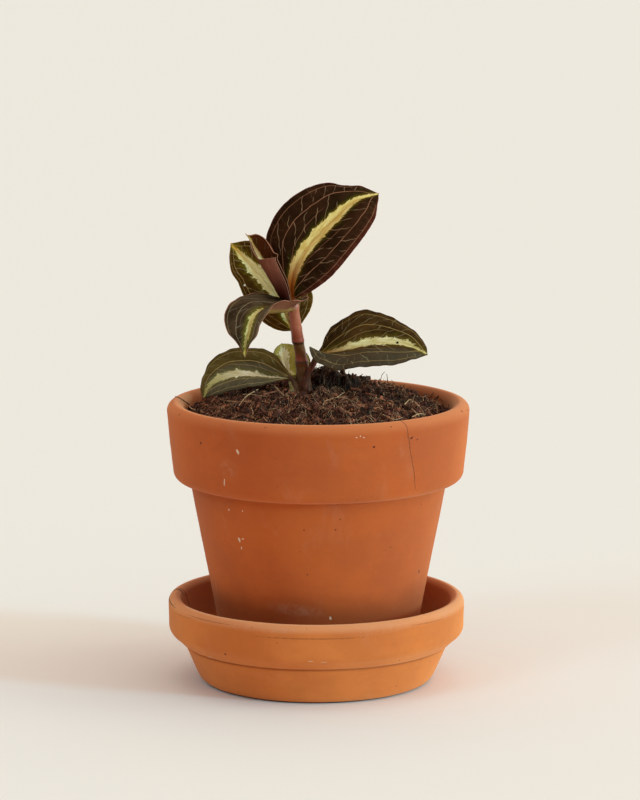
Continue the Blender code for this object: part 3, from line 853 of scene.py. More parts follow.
def smooth_curve(points: tuple, count: int) -> np.ndarray:
    """Return evenly spaced rows along a centripetal Catmull-Rom curve.

    Args:
        points: Rows of x, y, z and any further numbers that change along the curve.
        count: How many rows to return.

    Returns:
        The rows, spaced evenly by length.
    """
    rows = np.array(points, dtype=float)
    rows = np.vstack([2 * rows[0] - rows[1], rows, 2 * rows[-1] - rows[-2]])
    steps = np.linalg.norm(np.diff(rows[:, :3], axis=0), axis=1)
    knots = np.concatenate([[0.0], np.cumsum(np.sqrt(np.maximum(steps, 1e-6)))])

    def between(first: np.ndarray, second: np.ndarray, low: float, high: float, at: np.ndarray) -> np.ndarray:
        """Return the straight blend of two points or curves."""
        share = ((at - low) / (high - low))[:, None]
        return first * (1 - share) + second * share

    dense = []
    for i in range(1, len(rows) - 2):
        at = np.linspace(knots[i], knots[i + 1], CURVE_SAMPLES, endpoint=False)
        k = knots[i - 1:i + 3]
        one = between(rows[i - 1], rows[i], k[0], k[1], at)
        two = between(rows[i], rows[i + 1], k[1], k[2], at)
        three = between(rows[i + 1], rows[i + 2], k[2], k[3], at)
        early, late = between(one, two, k[0], k[2], at), between(two, three, k[1], k[3], at)
        dense.append(between(early, late, k[1], k[2], at))
    dense = np.vstack(dense + [rows[-2:-1]])
    lengths = np.concatenate([[0.0], np.cumsum(np.linalg.norm(np.diff(dense[:, :3], axis=0), axis=1))])
    wanted = np.linspace(0.0, lengths[-1], count)
    return np.column_stack([np.interp(wanted, lengths, column) for column in dense.T])


def unit(rows: np.ndarray) -> np.ndarray:
    """Scale each row to length one."""
    return rows / np.maximum(np.linalg.norm(rows, axis=-1, keepdims=True), 1e-9)


@dataclass
class Studio:
    """The camera, the lights and the pale floor."""

    camera_place: Point = (0.57, -1400.0, 338.14)
    camera_down_deg: float = 9.525
    focal_px: float = 3903.0
    picture_height_px: float = 800.0
    sensor: float = 36.0
    clip: Pair = (0.05, 40.0)
    floor_radius: float = 9.0
    floor_colour: Colour = (0.868, 0.800, 0.756)
    floor_shade: Colour = (0.82, 0.75, 0.68)
    floor_patch: float = 900.0
    sky_colour: Colour = (1.06, 0.935, 0.80)
    sky_level: float = 0.44
    sky_above: float = 0.58
    sky_slope: float = 0.40
    sky_least: float = 0.10
    sky_bright_side: Point = (0.98, 0.10, 0.0)
    key_colour: Colour = (0.26, 0.70, 0.94)
    key_strength: float = 2.25
    key_from: Point = (0.88, -0.42, 0.22)
    key_soft_deg: float = 10.0
    side_colour: Colour = (0.60, 0.91, 0.86)
    side_strength: float = 2.25
    side_from: Point = (0.97, -0.08, 0.08)
    side_soft_deg: float = 40.0
    fill_strength: float = 0.52
    fill_from: Point = (-0.58, -0.58, 0.57)
    fill_soft_deg: float = 20.0

    def camera(self) -> None:
        """Place the camera where the photograph was taken from."""
        data = bpy.data.cameras.new("camera")
        data.sensor_width = self.sensor
        data.lens = self.focal_px * self.sensor / self.picture_height_px
        data.clip_start, data.clip_end = self.clip
        made = bpy.data.objects.new("camera", data)
        made.location = Vector(self.camera_place) * MM
        made.rotation_euler = (math.radians(90.0 - self.camera_down_deg), 0.0, 0.0)
        bpy.context.scene.collection.objects.link(made)
        bpy.context.scene.camera = made

    def sun(self, name: str, colour: Colour, source: Point, strength: float, soft_deg: float) -> None:
        """Add one soft far light.

        Args:
            name: Its name.
            colour: Its colour.
            source: The direction that it comes from.
            strength: Its strength.
            soft_deg: How wide it looks, in degrees.
        """
        data = bpy.data.lights.new(name, "SUN")
        data.energy = strength
        data.angle = math.radians(soft_deg)
        data.color = colour
        made = bpy.data.objects.new(name, data)
        made.rotation_mode = "QUATERNION"
        made.rotation_quaternion = Vector(source).to_track_quat("Z", "Y")
        bpy.context.scene.collection.objects.link(made)

    def sky(self) -> None:
        """Fill the room with pale light that is strongest overhead and on the right, and weakest on the left."""
        world = bpy.data.worlds.new("soft_room")
        world.use_nodes = True
        graph = Graph(world.node_tree)
        direction = graph.value("ShaderNodeTexCoord", output="Generated")
        height = graph.axes(direction)[2]
        toward = graph.value("ShaderNodeVectorMath", {0: direction, 1: self.sky_bright_side}, "Value",
                             operation="DOT_PRODUCT")
        level = graph.most(height, 0.0) * self.sky_above + self.sky_level
        level = toward * self.sky_slope + level
        background = world.node_tree.nodes["Background"]
        graph.feed(background, {
            "Color": self.sky_colour,
            "Strength": graph.most(level, self.sky_least)})
        bpy.context.scene.world = world

    def floor(self) -> None:
        """Lay a wide plain floor under the plant."""
        bm = bmesh.new()
        bmesh.ops.create_circle(bm, cap_ends=True, segments=96, radius=self.floor_radius)
        mesh = bpy.data.meshes.new("floor")
        bm.to_mesh(mesh)
        bm.free()
        made, graph, shader = new_material("pale_floor")
        place = graph.object_mm()
        shade = graph.noise(place, self.floor_patch, 2.0)
        graph.feed(shader, {
            "Base Color": graph.blend(shade * 0.05, self.floor_colour, self.floor_shade),
            "Roughness": 0.75,
            "Specular IOR Level": 0.15})
        mesh.materials.append(made)
        floor = bpy.data.objects.new("floor", mesh)
        bpy.context.scene.collection.objects.link(floor)

    def build(self) -> None:
        """Set up the whole studio."""
        view = bpy.context.scene.view_settings
        view.view_transform = "Standard"
        view.look = "None"
        self.camera()
        self.sky()
        self.sun("key_light", self.key_colour, self.key_from, self.key_strength, self.key_soft_deg)
        self.sun("side_light", self.side_colour, self.side_from, self.side_strength, self.side_soft_deg)
        self.sun("fill_light", self.key_colour, self.fill_from, self.fill_strength, self.fill_soft_deg)
        self.floor()


@dataclass
class TurnedClay:
    """A turned clay piece: a profile spun about its axis, then roughened a little as fired clay is."""

    name: str
    node: str
    finish: ClayFinish
    steps: int = 240
    spacing: float = 2.2
    wobble: float = 0.16
    wobble_size: float = 24.0
    ring: float = 0.05
    ring_size: float = 3.1
    foot_height: float = 0.05
    join_gap: float = 0.002

    def profile(self) -> list[Pair]:
        """Return the outline (r, z) of the wall."""
        raise NotImplementedError

    def build(self) -> bpy.types.Object:
        """Spin, roughen and dress the piece.

        Returns:
            The piece's object.
        """
        outline = evenly(self.profile(), self.spacing)
        bm = bmesh.new()
        points = [bm.verts.new((r, 0.0, z)) for r, z in outline]
        edges = [bm.edges.new(pair) for pair in zip(points, points[1:])]
        bmesh.ops.spin(bm, geom=points + edges, cent=(0, 0, 0), axis=(0, 0, 1), dvec=(0, 0, 0),
                       angle=2 * math.pi, steps=self.steps, use_merge=True)
        bmesh.ops.remove_doubles(bm, verts=bm.verts[:], dist=self.join_gap)
        bmesh.ops.recalc_face_normals(bm, faces=bm.faces[:])
        for vert in bm.verts:
            self.roughen(vert)
        bmesh.ops.translate(bm, verts=bm.verts[:], vec=(self.finish.centre_x, 0.0, 0.0))
        return finish_mesh(self.name, bm, self.finish.material(), (self.node,))

    def roughen(self, vert: bmesh.types.BMVert) -> None:
        """Move one point of the wall a little, as turning and finishing by hand do.

        Args:
            vert: The point. The flat underside and the middle of the floor stay where they are.
        """
        place = vert.co
        radius = math.hypot(place.x, place.y)
        if radius < 1.0 or place.z < self.foot_height:
            return
        outward = Vector((place.x / radius, place.y / radius, 0.0))
        wave = noise.noise(place / self.wobble_size) * self.wobble
        ring = noise.noise(Vector((place.z / self.ring_size, 7.0, 0.4 * outward.x))) * self.ring
        vert.co = place + outward * (wave + ring)


@dataclass
class ClayPot(TurnedClay):
    """The pot: a tapered body under a deep collar with a rounded lip."""

    rim_radius: float = 55.0
    rim_top: float = 103.0
    lip_round: float = 3.1
    collar_radius: float = 53.0
    collar_z: float = 78.2
    collar_corner: float = 3.8
    collar_tuck: float = 1.1
    body_top: Pair = (46.5, 72.6)
    body_foot: Pair = (34.1, 7.8)
    foot_round: float = 1.2
    collar_inset: tuple[Pair, ...] = ((0.9, 88.0), (0.3, 95.5))
    foot_z: float = 6.6
    floor_z: float = 12.2
    drain_radius: float = 6.5
    inner: tuple[Pair, ...] = ((47.6, 80.0), (42.3, 70.0), (31.4, 14.0), (30.0, 12.2))

    def profile(self) -> list[Pair]:
        """Draw the pot's outline, from its drain hole round the outside to the inner floor.

        Returns:
            The outline (r, z).
        """
        foot_r, foot_z = self.body_foot
        outline = [(self.drain_radius, self.foot_z)]
        outline += arc(foot_r - self.foot_round, foot_z, self.foot_round, -90, -8, 5)
        outline += [self.body_top]
        outline += arc(self.body_top[0] + self.collar_tuck, self.body_top[1] + 0.2, self.collar_tuck, 180, 95, 4)
        outline += arc(self.collar_radius - self.collar_corner, self.collar_z, self.collar_corner, -82, 0, 9)
        outline += [(self.rim_radius - inset, z) for inset, z in self.collar_inset]
        outline += arc(self.rim_radius - self.lip_round, self.rim_top - self.lip_round, self.lip_round, 0, 180, 16)
        outline += [*self.inner, (self.drain_radius, self.floor_z), (self.drain_radius, self.foot_z)]
        return outline


@dataclass
class ClaySaucer(TurnedClay):
    """The saucer: a flat base, a rounded foot, a step and a deep band with a rounded lip."""

    radius: float = 54.2
    height: float = 31.2
    lip_round: float = 2.45
    base_radius: float = 40.2
    step: Pair = (47.85, 13.9)
    step_groove: tuple[Pair, ...] = ((0.15, -0.7), (0.0, 0.0), (0.5, 0.35), (1.6, 0.65))
    band_corner: float = 4.2
    band_z: float = 20.5
    band_inset: float = 0.2
    foot: tuple[Pair, ...] = ((40.3, 0.35), (41.7, 0.65), (42.7, 1.6), (43.5, 2.9), (44.2, 4.4),
                                             (47.8, 12.7))
    inner: tuple[Pair, ...] = ((48.0, 22.0), (44.6, 11.8), (42.8, 8.4), (40.4, 6.8), (38.0, 6.3))

    def profile(self) -> list[Pair]:
        """Draw the saucer's outline, from the middle of its base to the middle of its inner floor.

        Returns:
            The outline (r, z).
        """
        step_r, step_z = self.step
        outline = [(0.0, 0.0), (self.base_radius, 0.0), *self.foot]
        outline += [(step_r + out, step_z + up) for out, up in self.step_groove]
        outline += arc(self.radius - self.band_corner - self.band_inset, self.band_z, self.band_corner, -60, 0, 8)
        outline += arc(self.radius - self.lip_round, self.height - self.lip_round, self.lip_round, 0, 180, 16)
        outline += [*self.inner, (0.0, self.inner[-1][1])]
        return outline


@dataclass
class LeafSheet:
    """A thin closed sheet over a grid of rows and columns, with the maps that its pattern needs."""

    name: str
    finish: LeafFinish
    rows: int
    columns: int
    thickness: float = 0.34
    keel_foot: float = 1.1
    keel_tip: float = 0.15
    keel_half: float = 1.1
    edge_share: float = 0.45
    edge_width: float = 0.9
    column_power: float = 1.12
    join_gap: float = 0.012
    shortest_edge: float = 0.004
    outside: Side = Side.UPPER

    def grid(self) -> tuple[np.ndarray, np.ndarray, np.ndarray]:
        """Return the outer face's points, the run along the leaf and the half width at each point."""
        raise NotImplementedError

    def depth(self, along: np.ndarray, reach: np.ndarray) -> np.ndarray:
        """Return the sheet's thickness: thin at the margins, with a rib under the middle."""
        keel = self.keel_foot + (self.keel_tip - self.keel_foot) * np.sqrt(along)
        return self.thickness + keel * np.exp(-(reach / self.keel_half) ** 2)

    def normals(self, points: np.ndarray) -> np.ndarray:
        """Take the outer face's normals from its rows and columns.

        Args:
            points: The outer face's points.

        Returns:
            The normal at each point.
        """
        made = unit(np.cross(np.gradient(points, axis=1), np.gradient(points, axis=0)))
        made[-1] = made[-2]
        return made

    def build(self) -> bpy.types.Object:
        """Lay a grid over the sheet, give it thickness and dress it.

        Returns:
            The piece's object.
        """
        points, run, half = self.grid()
        along = np.linspace(0.0, 1.0, self.rows + 1)[:, None] * np.ones((1, self.columns + 1))
        across = np.ones((self.rows + 1, 1)) * self.shares()[None, :]
        margin = np.clip((1.0 - np.abs(across)) * half / self.edge_width, 0.0, 1.0)
        depth = self.depth(along, across * half) * (self.edge_share + (1.0 - self.edge_share) * np.sqrt(margin))
        inner = points - self.normals(points) * depth[..., None]

        bm = bmesh.new()
        bmesh.ops.create_grid(bm, x_segments=self.rows, y_segments=self.columns, size=1.0)
        index = bm.verts.layers.int.new("index")
        side = bm.verts.layers.float.new("side")
        for vert in bm.verts:
            i = round((vert.co.x + 1.0) / 2.0 * self.rows)
            j = round((vert.co.y + 1.0) / 2.0 * self.columns)
            vert[index] = i * (self.columns + 1) + j
            vert[side] = self.outside.value
        front = bm.faces[:]
        copied = bmesh.ops.duplicate(bm, geom=bm.verts[:] + bm.edges[:] + front)
        back = [item for item in copied["geom"] if isinstance(item, bmesh.types.BMFace)]
        bmesh.ops.reverse_faces(bm, faces=back)
        back_verts = {vert for face in back for vert in face.verts}
        flat_points, flat_inner = points.reshape(-1, 3), inner.reshape(-1, 3)
        for vert in bm.verts:
            behind = vert in back_verts
            vert.co = (flat_inner if behind else flat_points)[vert[index]]
            if behind:
                vert[side] = 1.0 - self.outside.value
        rim = [edge for edge in bm.edges if edge.is_boundary]
        bmesh.ops.bridge_loops(bm, edges=rim)
        maps = {"station": (along, across), "blade_mm": (run, half)}
        for label, (first, second) in maps.items():
            layer = bm.loops.layers.uv.new(label)
            flat = np.column_stack([first.ravel(), second.ravel()])
            for face in bm.faces:
                for loop in face.loops:
                    loop[layer].uv = flat[loop.vert[index]]
        bmesh.ops.remove_doubles(bm, verts=bm.verts[:], dist=self.join_gap)
        bmesh.ops.dissolve_degenerate(bm, edges=bm.edges[:], dist=self.shortest_edge)
        bmesh.ops.recalc_face_normals(bm, faces=bm.faces[:])
        bmesh.ops.triangulate(bm, faces=bm.faces[:])
        return finish_mesh(self.name, bm, self.finish.material(), (self.name,))

    def shares(self) -> np.ndarray:
        """Return the columns' places between the left margin, -1, and the right margin, 1."""
        even = np.linspace(-1.0, 1.0, self.columns + 1)
        return np.sign(even) * np.abs(even) ** self.column_power


@dataclass
class LeafBlade(LeafSheet):
    """A leaf lofted across its midrib and two margins, with a groove, pillows and a waved edge."""

    crown: float = 0.9
    petiole_radius: float = 1.0
    petiole: tuple[Point, ...] = ()
    midrib: tuple[Point, ...] = ()
    left: tuple[Point, ...] = ()
    right: tuple[Point, ...] = ()
    petiole_share: float = 0.08
    wave: float = 0.30
    wave_length: float = 8.5
    pillow: float = 0.16
    pillow_length: float = 4.7
    ragged: float = 0.10
    ragged_steps: float = 18.0
    groove: float = 0.32
    groove_half: float = 0.55
    bulge: float = 0.48
    row_power: float = 1.15
    rail_points: int = 401

    def grid(self) -> tuple[np.ndarray, np.ndarray, np.ndarray]:
        """Loft the upper face across the three rails.

        Returns:
            Its points, the run along the leaf and the half width at each point.
        """
        stalk_rows = max(3, round(self.rows * self.petiole_share))
        blade_rows = self.rows + 1 - stalk_rows
        stations = np.linspace(0.0, 1.0, blade_rows + 1)[1:] ** self.row_power
        count = self.rail_points
        left, middle, right = (
            np.column_stack([np.interp(stations * (count - 1), np.arange(count), axis)
                             for axis in smooth_curve(rail, count).T])
            for rail in (self.left, self.midrib, self.right))
        stalk = smooth_curve(self.petiole + self.midrib[:1], stalk_rows + 1)[:-1]
        across = unit(right[0] - left[0])
        left = self.roughened(left, middle, 1.0)
        right = self.roughened(right, middle, 2.0)
        left = np.vstack([stalk - across * self.petiole_radius, left])
        middle = np.vstack([stalk, middle])
        right = np.vstack([stalk + across * self.petiole_radius, right])

        shares = self.shares()
        side = np.abs(shares)[None, :, None]
        margins = np.where(shares[None, :, None] < 0, left[:, None, :], right[:, None, :])
        flat = middle[:, None, :] + (margins - middle[:, None, :]) * side
        half = np.linalg.norm(margins - middle[:, None, :], axis=2)
        run = np.concatenate([[0.0], np.cumsum(np.linalg.norm(np.diff(middle, axis=0), axis=1))])
        run = run[:, None] * np.ones_like(half)
        width = np.linalg.norm(right - left, axis=1)[:, None] / 2.0
        face = unit(np.cross(right - left, np.gradient(middle, axis=0)))[:, None, :]
        side = side[..., 0]
        bulge = self.crown * self.bulge * width * side * (1.0 - side)
        raised = flat + face * (bulge + self.relief(run, side, half, shares))[..., None]
        return raised, run, half

    def roughened(self, margin: np.ndarray, middle: np.ndarray, phase: float) -> np.ndarray:
        """Give a margin the small irregular steps of a grown leaf's edge.

        Args:
            margin: The margin's points.
            middle: The midrib's points.
            phase: A number that sets the two margins apart.

        Returns:
            The margin's new points.
        """
        out = margin - middle
        width = np.linalg.norm(out, axis=1, keepdims=True)
        run = np.linspace(0.0, 1.0, len(margin)) * self.ragged_steps
        steps = [noise.noise(Vector((at, phase, self.finish.seed))) + 0.6 * noise.noise(Vector((2.7 * at, phase, 5.0)))
                 for at in run]
        move = self.ragged * np.array(steps)[:, None] * np.clip(width / 4.0, 0.0, 1.0)
        return margin + unit(out) * move

    def relief(self, run: np.ndarray, side: np.ndarray, half: np.ndarray, shares: np.ndarray) -> np.ndarray:
        """Return how far each point of the face is raised: a groove, pillows between the veins and an edge wave.

        Args:
            run: Distance along the midrib.
            side: Share of the way to the margin.
            half: Half width.
            shares: The columns' signed shares.

        Returns:
            The heights in millimetres.
        """
        reach = side * half
        open_blade = np.clip(half / 5.0, 0.0, 1.0)
        groove = -self.groove * np.exp(-(reach / self.groove_half) ** 2)
        phase = self.finish.seed + 2.0 * np.sign(shares)[None, :]
        waves = self.wave * side ** 4 * (np.sin(2 * math.pi * run / self.wave_length + phase)
                                         + 0.5 * np.sin(2 * math.pi * run / (0.43 * self.wave_length) + 2 * phase))
        lanes = (0.0, self.finish.main_vein * 0.97, self.finish.outer_vein, 1.0)
        quilt = np.zeros_like(reach)
        for low, high in zip(lanes, lanes[1:]):
            part = np.clip((side - low) / (high - low), 0.0, 1.0)
            quilt += np.sin(math.pi * part) * (high - low) * 2.0
        swell = 0.75 + 0.35 * (np.sin(2 * math.pi * run / self.pillow_length + 3.0 * phase)
                               * np.sin(reach * 1.3 + phase))
        return (groove + waves + self.pillow * quilt * swell) * open_blade


@dataclass
class FurledLeaf(LeafSheet):
    """The young leaf that is still rolled round its own axis and opens to a scoop at its upper end."""

    axis: tuple[Row, ...] = ()
    midrib_deg: float = 220.0
    stations: tuple[float, ...] = (0.0, 0.572, 0.650, 0.86, 1.0)
    left_deg: tuple[float, ...] = (30.0, 26.0, 160.0, 190.0, 212.0)
    right_deg: tuple[float, ...] = (364.0, 364.0, 378.0, 374.0, 228.0)
    flap_station: float = 0.590
    flap_turn_deg: float = 14.0
    flap_reach: float = 0.40
    flap_wide_deg: float = 24.0
    flap_long: float = 0.030
    ripple: float = 0.035
    tuck: float = 0.10

    def normals(self, points: np.ndarray) -> np.ndarray:
        """Turn the normals so that they point away from the roll's axis.

        Args:
            points: The outer face's points.

        Returns:
            The normal at each point.
        """
        rows = smooth_curve(self.axis, self.rows + 1)
        outward = points - rows[:, None, :3]
        made = super().normals(points)
        facing = np.sign(np.sum(made * outward, axis=2, keepdims=True))
        return made * np.where(facing == 0, 1.0, facing)

    def grid(self) -> tuple[np.ndarray, np.ndarray, np.ndarray]:
        """Roll the outer face round the axis.

        Returns:
            Its points, the run along the leaf and the half width at each point.
        """
        rows = smooth_curve(self.axis, self.rows + 1)
        axis, radius = rows[:, :3], rows[:, 3]
        along = unit(np.gradient(axis, axis=0))
        front = np.array([0.0, -1.0, 0.0])
        front = unit(front - along * (along @ front)[:, None])
        side = unit(np.cross(front, along)) * -1.0
        side *= np.sign(side[:, :1])
        station = np.linspace(0.0, 1.0, self.rows + 1)
        left = np.interp(station, self.stations, self.left_deg)[:, None]
        right = np.interp(station, self.stations, self.right_deg)[:, None]
        shares = self.shares()[None, :]
        margin = np.where(shares < 0, left, right)
        span = margin - self.midrib_deg
        turn = np.radians(self.midrib_deg + span * np.abs(shares))
        ripple = 1.0 + self.ripple * np.sin(5.0 * turn + 6.0 * station[:, None])
        tuck = 1.0 - self.tuck * np.where(shares < 0, np.abs(shares) ** 6, 0.0)
        off_turn = (np.degrees(turn) - self.flap_turn_deg + 180.0) % 360.0 - 180.0
        off_flap = ((off_turn / self.flap_wide_deg) ** 2
                    + ((station[:, None] - self.flap_station) / self.flap_long) ** 2)
        flap = 1.0 + self.flap_reach * np.exp(-off_flap)
        reach = (radius[:, None] * ripple * tuck * flap)[..., None]
        around = np.cos(turn)[..., None] * side[:, None, :] + np.sin(turn)[..., None] * front[:, None, :]
        run = np.concatenate([[0.0], np.cumsum(np.linalg.norm(np.diff(axis, axis=0), axis=1))])
        half = radius[:, None] * np.radians(np.abs(span))
        return axis[:, None, :] + reach * around, run[:, None] * np.ones_like(half), half


@dataclass
class TubePath:
    """A round fleshy piece swept along a curve, such as the stem or a petiole."""

    name: str
    points: tuple[Row, ...]
    sections: int
    lumps: float
    lump_size: float = 1.6
    roundness: int = 5

    def mesh(self) -> bpy.types.Mesh:
        """Sweep the tube and roughen it a little.

        Returns:
            The tube's mesh, in metres.
        """
        rows = smooth_curve(self.points, self.sections)
        mesh = swept(self.name, [rows], self.roundness)
        bm = bmesh.new()
        bm.from_mesh(mesh)
        bmesh.ops.remove_doubles(bm, verts=bm.verts[:], dist=1e-6)
        bm.normal_update()
        for vert in bm.verts:
            place = vert.co / MM
            vert.co += vert.normal * (noise.noise(place / self.lump_size) * self.lumps * MM)
        bmesh.ops.recalc_face_normals(bm, faces=bm.faces[:])
        bm.to_mesh(mesh)
        bm.free()
        return mesh


def swept(name: str, lines: list[np.ndarray], roundness: int) -> bpy.types.Mesh:
    """Sweep round tubes along lines of x, y, z and radius in millimetres.

    Args:
        name: The mesh's name.
        lines: One array of rows for each tube.
        roundness: The bevel resolution.

    Returns:
        One mesh with every tube, in metres.
    """
    curve = bpy.data.curves.new(name + "_path", "CURVE")
    curve.dimensions = "3D"
    curve.bevel_depth = MM
    curve.bevel_resolution = roundness
    curve.use_fill_caps = True
    for rows in lines:
        spline = curve.splines.new("POLY")
        spline.points.add(len(rows) - 1)
        flat = np.column_stack([rows[:, :3] * MM, np.ones(len(rows))])
        spline.points.foreach_set("co", flat.ravel())
        spline.points.foreach_set("radius", np.ascontiguousarray(rows[:, 3]))
    holder = bpy.data.objects.new(name + "_path", curve)
    bpy.context.scene.collection.objects.link(holder)
    bpy.context.view_layer.update()
    graph = bpy.context.evaluated_depsgraph_get()
    mesh = bpy.data.meshes.new_from_object(holder.evaluated_get(graph))
    bpy.data.objects.remove(holder, do_unlink=True)
    bpy.data.curves.remove(curve)
    mesh.name = name
    return mesh


@dataclass
class Stem:
    """The leaning stem with the sheaths and petioles that clasp its foot."""

    finish: StemFinish = StemFinish()
    sections: int = 170
    lumps: float = 0.12
    sheath_sections: int = 44
    sheath_lumps: float = 0.14
    points: tuple[Row, ...] = (
        (-5.5, 7.0, 88.0, 3.3), (-5.5, 7.0, 100.0, 3.3), (-5.5, 7.0, 106.0, 3.2), (-5.6, 6.7, 110.5, 2.75),
        (-5.9, 6.2, 114.5, 2.35), (-6.1, 6.0, 116.4, 2.42), (-6.2, 5.9, 117.2, 2.30), (-6.4, 5.7, 118.6, 2.08),
        (-7.0, 5.1, 122.0, 2.02), (-7.2, 4.9, 123.4, 2.05), (-7.35, 4.75, 124.0, 2.30), (-7.7, 4.3, 126.0, 2.20),
        (-8.1, 3.7, 129.0, 2.16), (-8.8, 2.7, 134.5, 2.00), (-9.1, 2.3, 138.0, 1.95), (-9.3, 2.2, 139.4, 1.20))
    sheaths: tuple[tuple[str, PlainFinish, tuple[Row, ...]], ...] = (
        ("sheath_small", PlainFinish("sheath_green", "pale_leaf", tone(170, 150, 96), tone(112, 94, 48), 3.0, 0.5),
         ((-8.4, 5.2, 101.0, 1.5), (-8.9, 5.2, 105.0, 1.6), (-9.6, 6.4, 108.6, 1.35), (-10.6, 9.2, 111.0, 0.9))),
        ("sheath_right", PlainFinish("sheath_maroon", "stem", tone(104, 54, 36), tone(54, 28, 16), 2.5, 0.45),
         ((-5.6, 4.4, 104.0, 1.7), (-4.9, 4.2, 108.5, 1.55), (-4.0, 4.2, 112.0, 1.15), (-2.7, 4.1, 115.2, 0.82),
          (-1.4, 3.7, 117.6, 0.78))),
        ("sheath_left", PlainFinish("sheath_brown", "stem", tone(104, 70, 44), tone(60, 38, 24), 2.5, 0.5),
         ((-6.8, 5.0, 102.0, 1.7), (-7.8, 5.0, 106.4, 1.5), (-9.2, 5.6, 109.6, 1.1), (-11.0, 6.4, 110.9, 0.8))),
    )

    def build(self) -> None:
        """Sweep the stem and each sheath."""
        stem = TubePath("stem", self.points, self.sections, self.lumps)
        dress("stem", stem.mesh(), self.finish.material(), ("stem",))
        for name, finish, points in self.sheaths:
            tube = TubePath(name, points, self.sheath_sections, self.sheath_lumps)
            dress(name, tube.mesh(), finish.material())


# The dark clod, and painted shade beside the stem and under the low leaves.
DARK_AND_SHADED_PLACES = ((7.5, 20.5, 13.0), (1.0, 9.0, 5.0), (28.0, 0.0, 9.0), (-14.0, 8.0, 3.5))


def mix_finish(name: str, light: Colour, dark: Colour, patch: float, roughness: float = 0.85,
               clouds: float = 0.0) -> PlainFinish:
    """Return a finish of the potting mix. One that is clouded is also darker at listed places: a dark clod, and
    painted shade under the leaves and beside the stem.
    """
    return PlainFinish(name, "potting_mix", light, dark, patch, roughness, clouds, DARK_AND_SHADED_PLACES if clouds else ())


COIR_RED = mix_finish("coir_red", tone(184, 114, 82), tone(88, 42, 27), 2.4, 0.7, 0.5)
COIR_FINE = mix_finish("coir_fine", tone(242, 192, 144), tone(130, 78, 50), 2.2, 0.7, 0.4)
COIR_DARK = mix_finish("coir_dark", tone(84, 48, 30), tone(26, 14, 8), 2.0, 0.75)
COIR_PALE = mix_finish("coir_pale", tone(208, 170, 128), tone(142, 98, 64), 3.0, 0.6)


@dataclass(frozen=True)
class Crumbs:
    """One size of crumb: how many there are, their least and greatest radius and how finely each is divided."""

    name: str
    finish: PlainFinish
    count: int
    least: float
    most: float
    subdivisions: int
    seed: int


@dataclass(frozen=True)
class Coir:
    """One colour of coir fibre: how many there are, and their usual length and radius."""

    name: str
    finish: PlainFinish
    count: int
    length: float
    radius: float
    seed: int


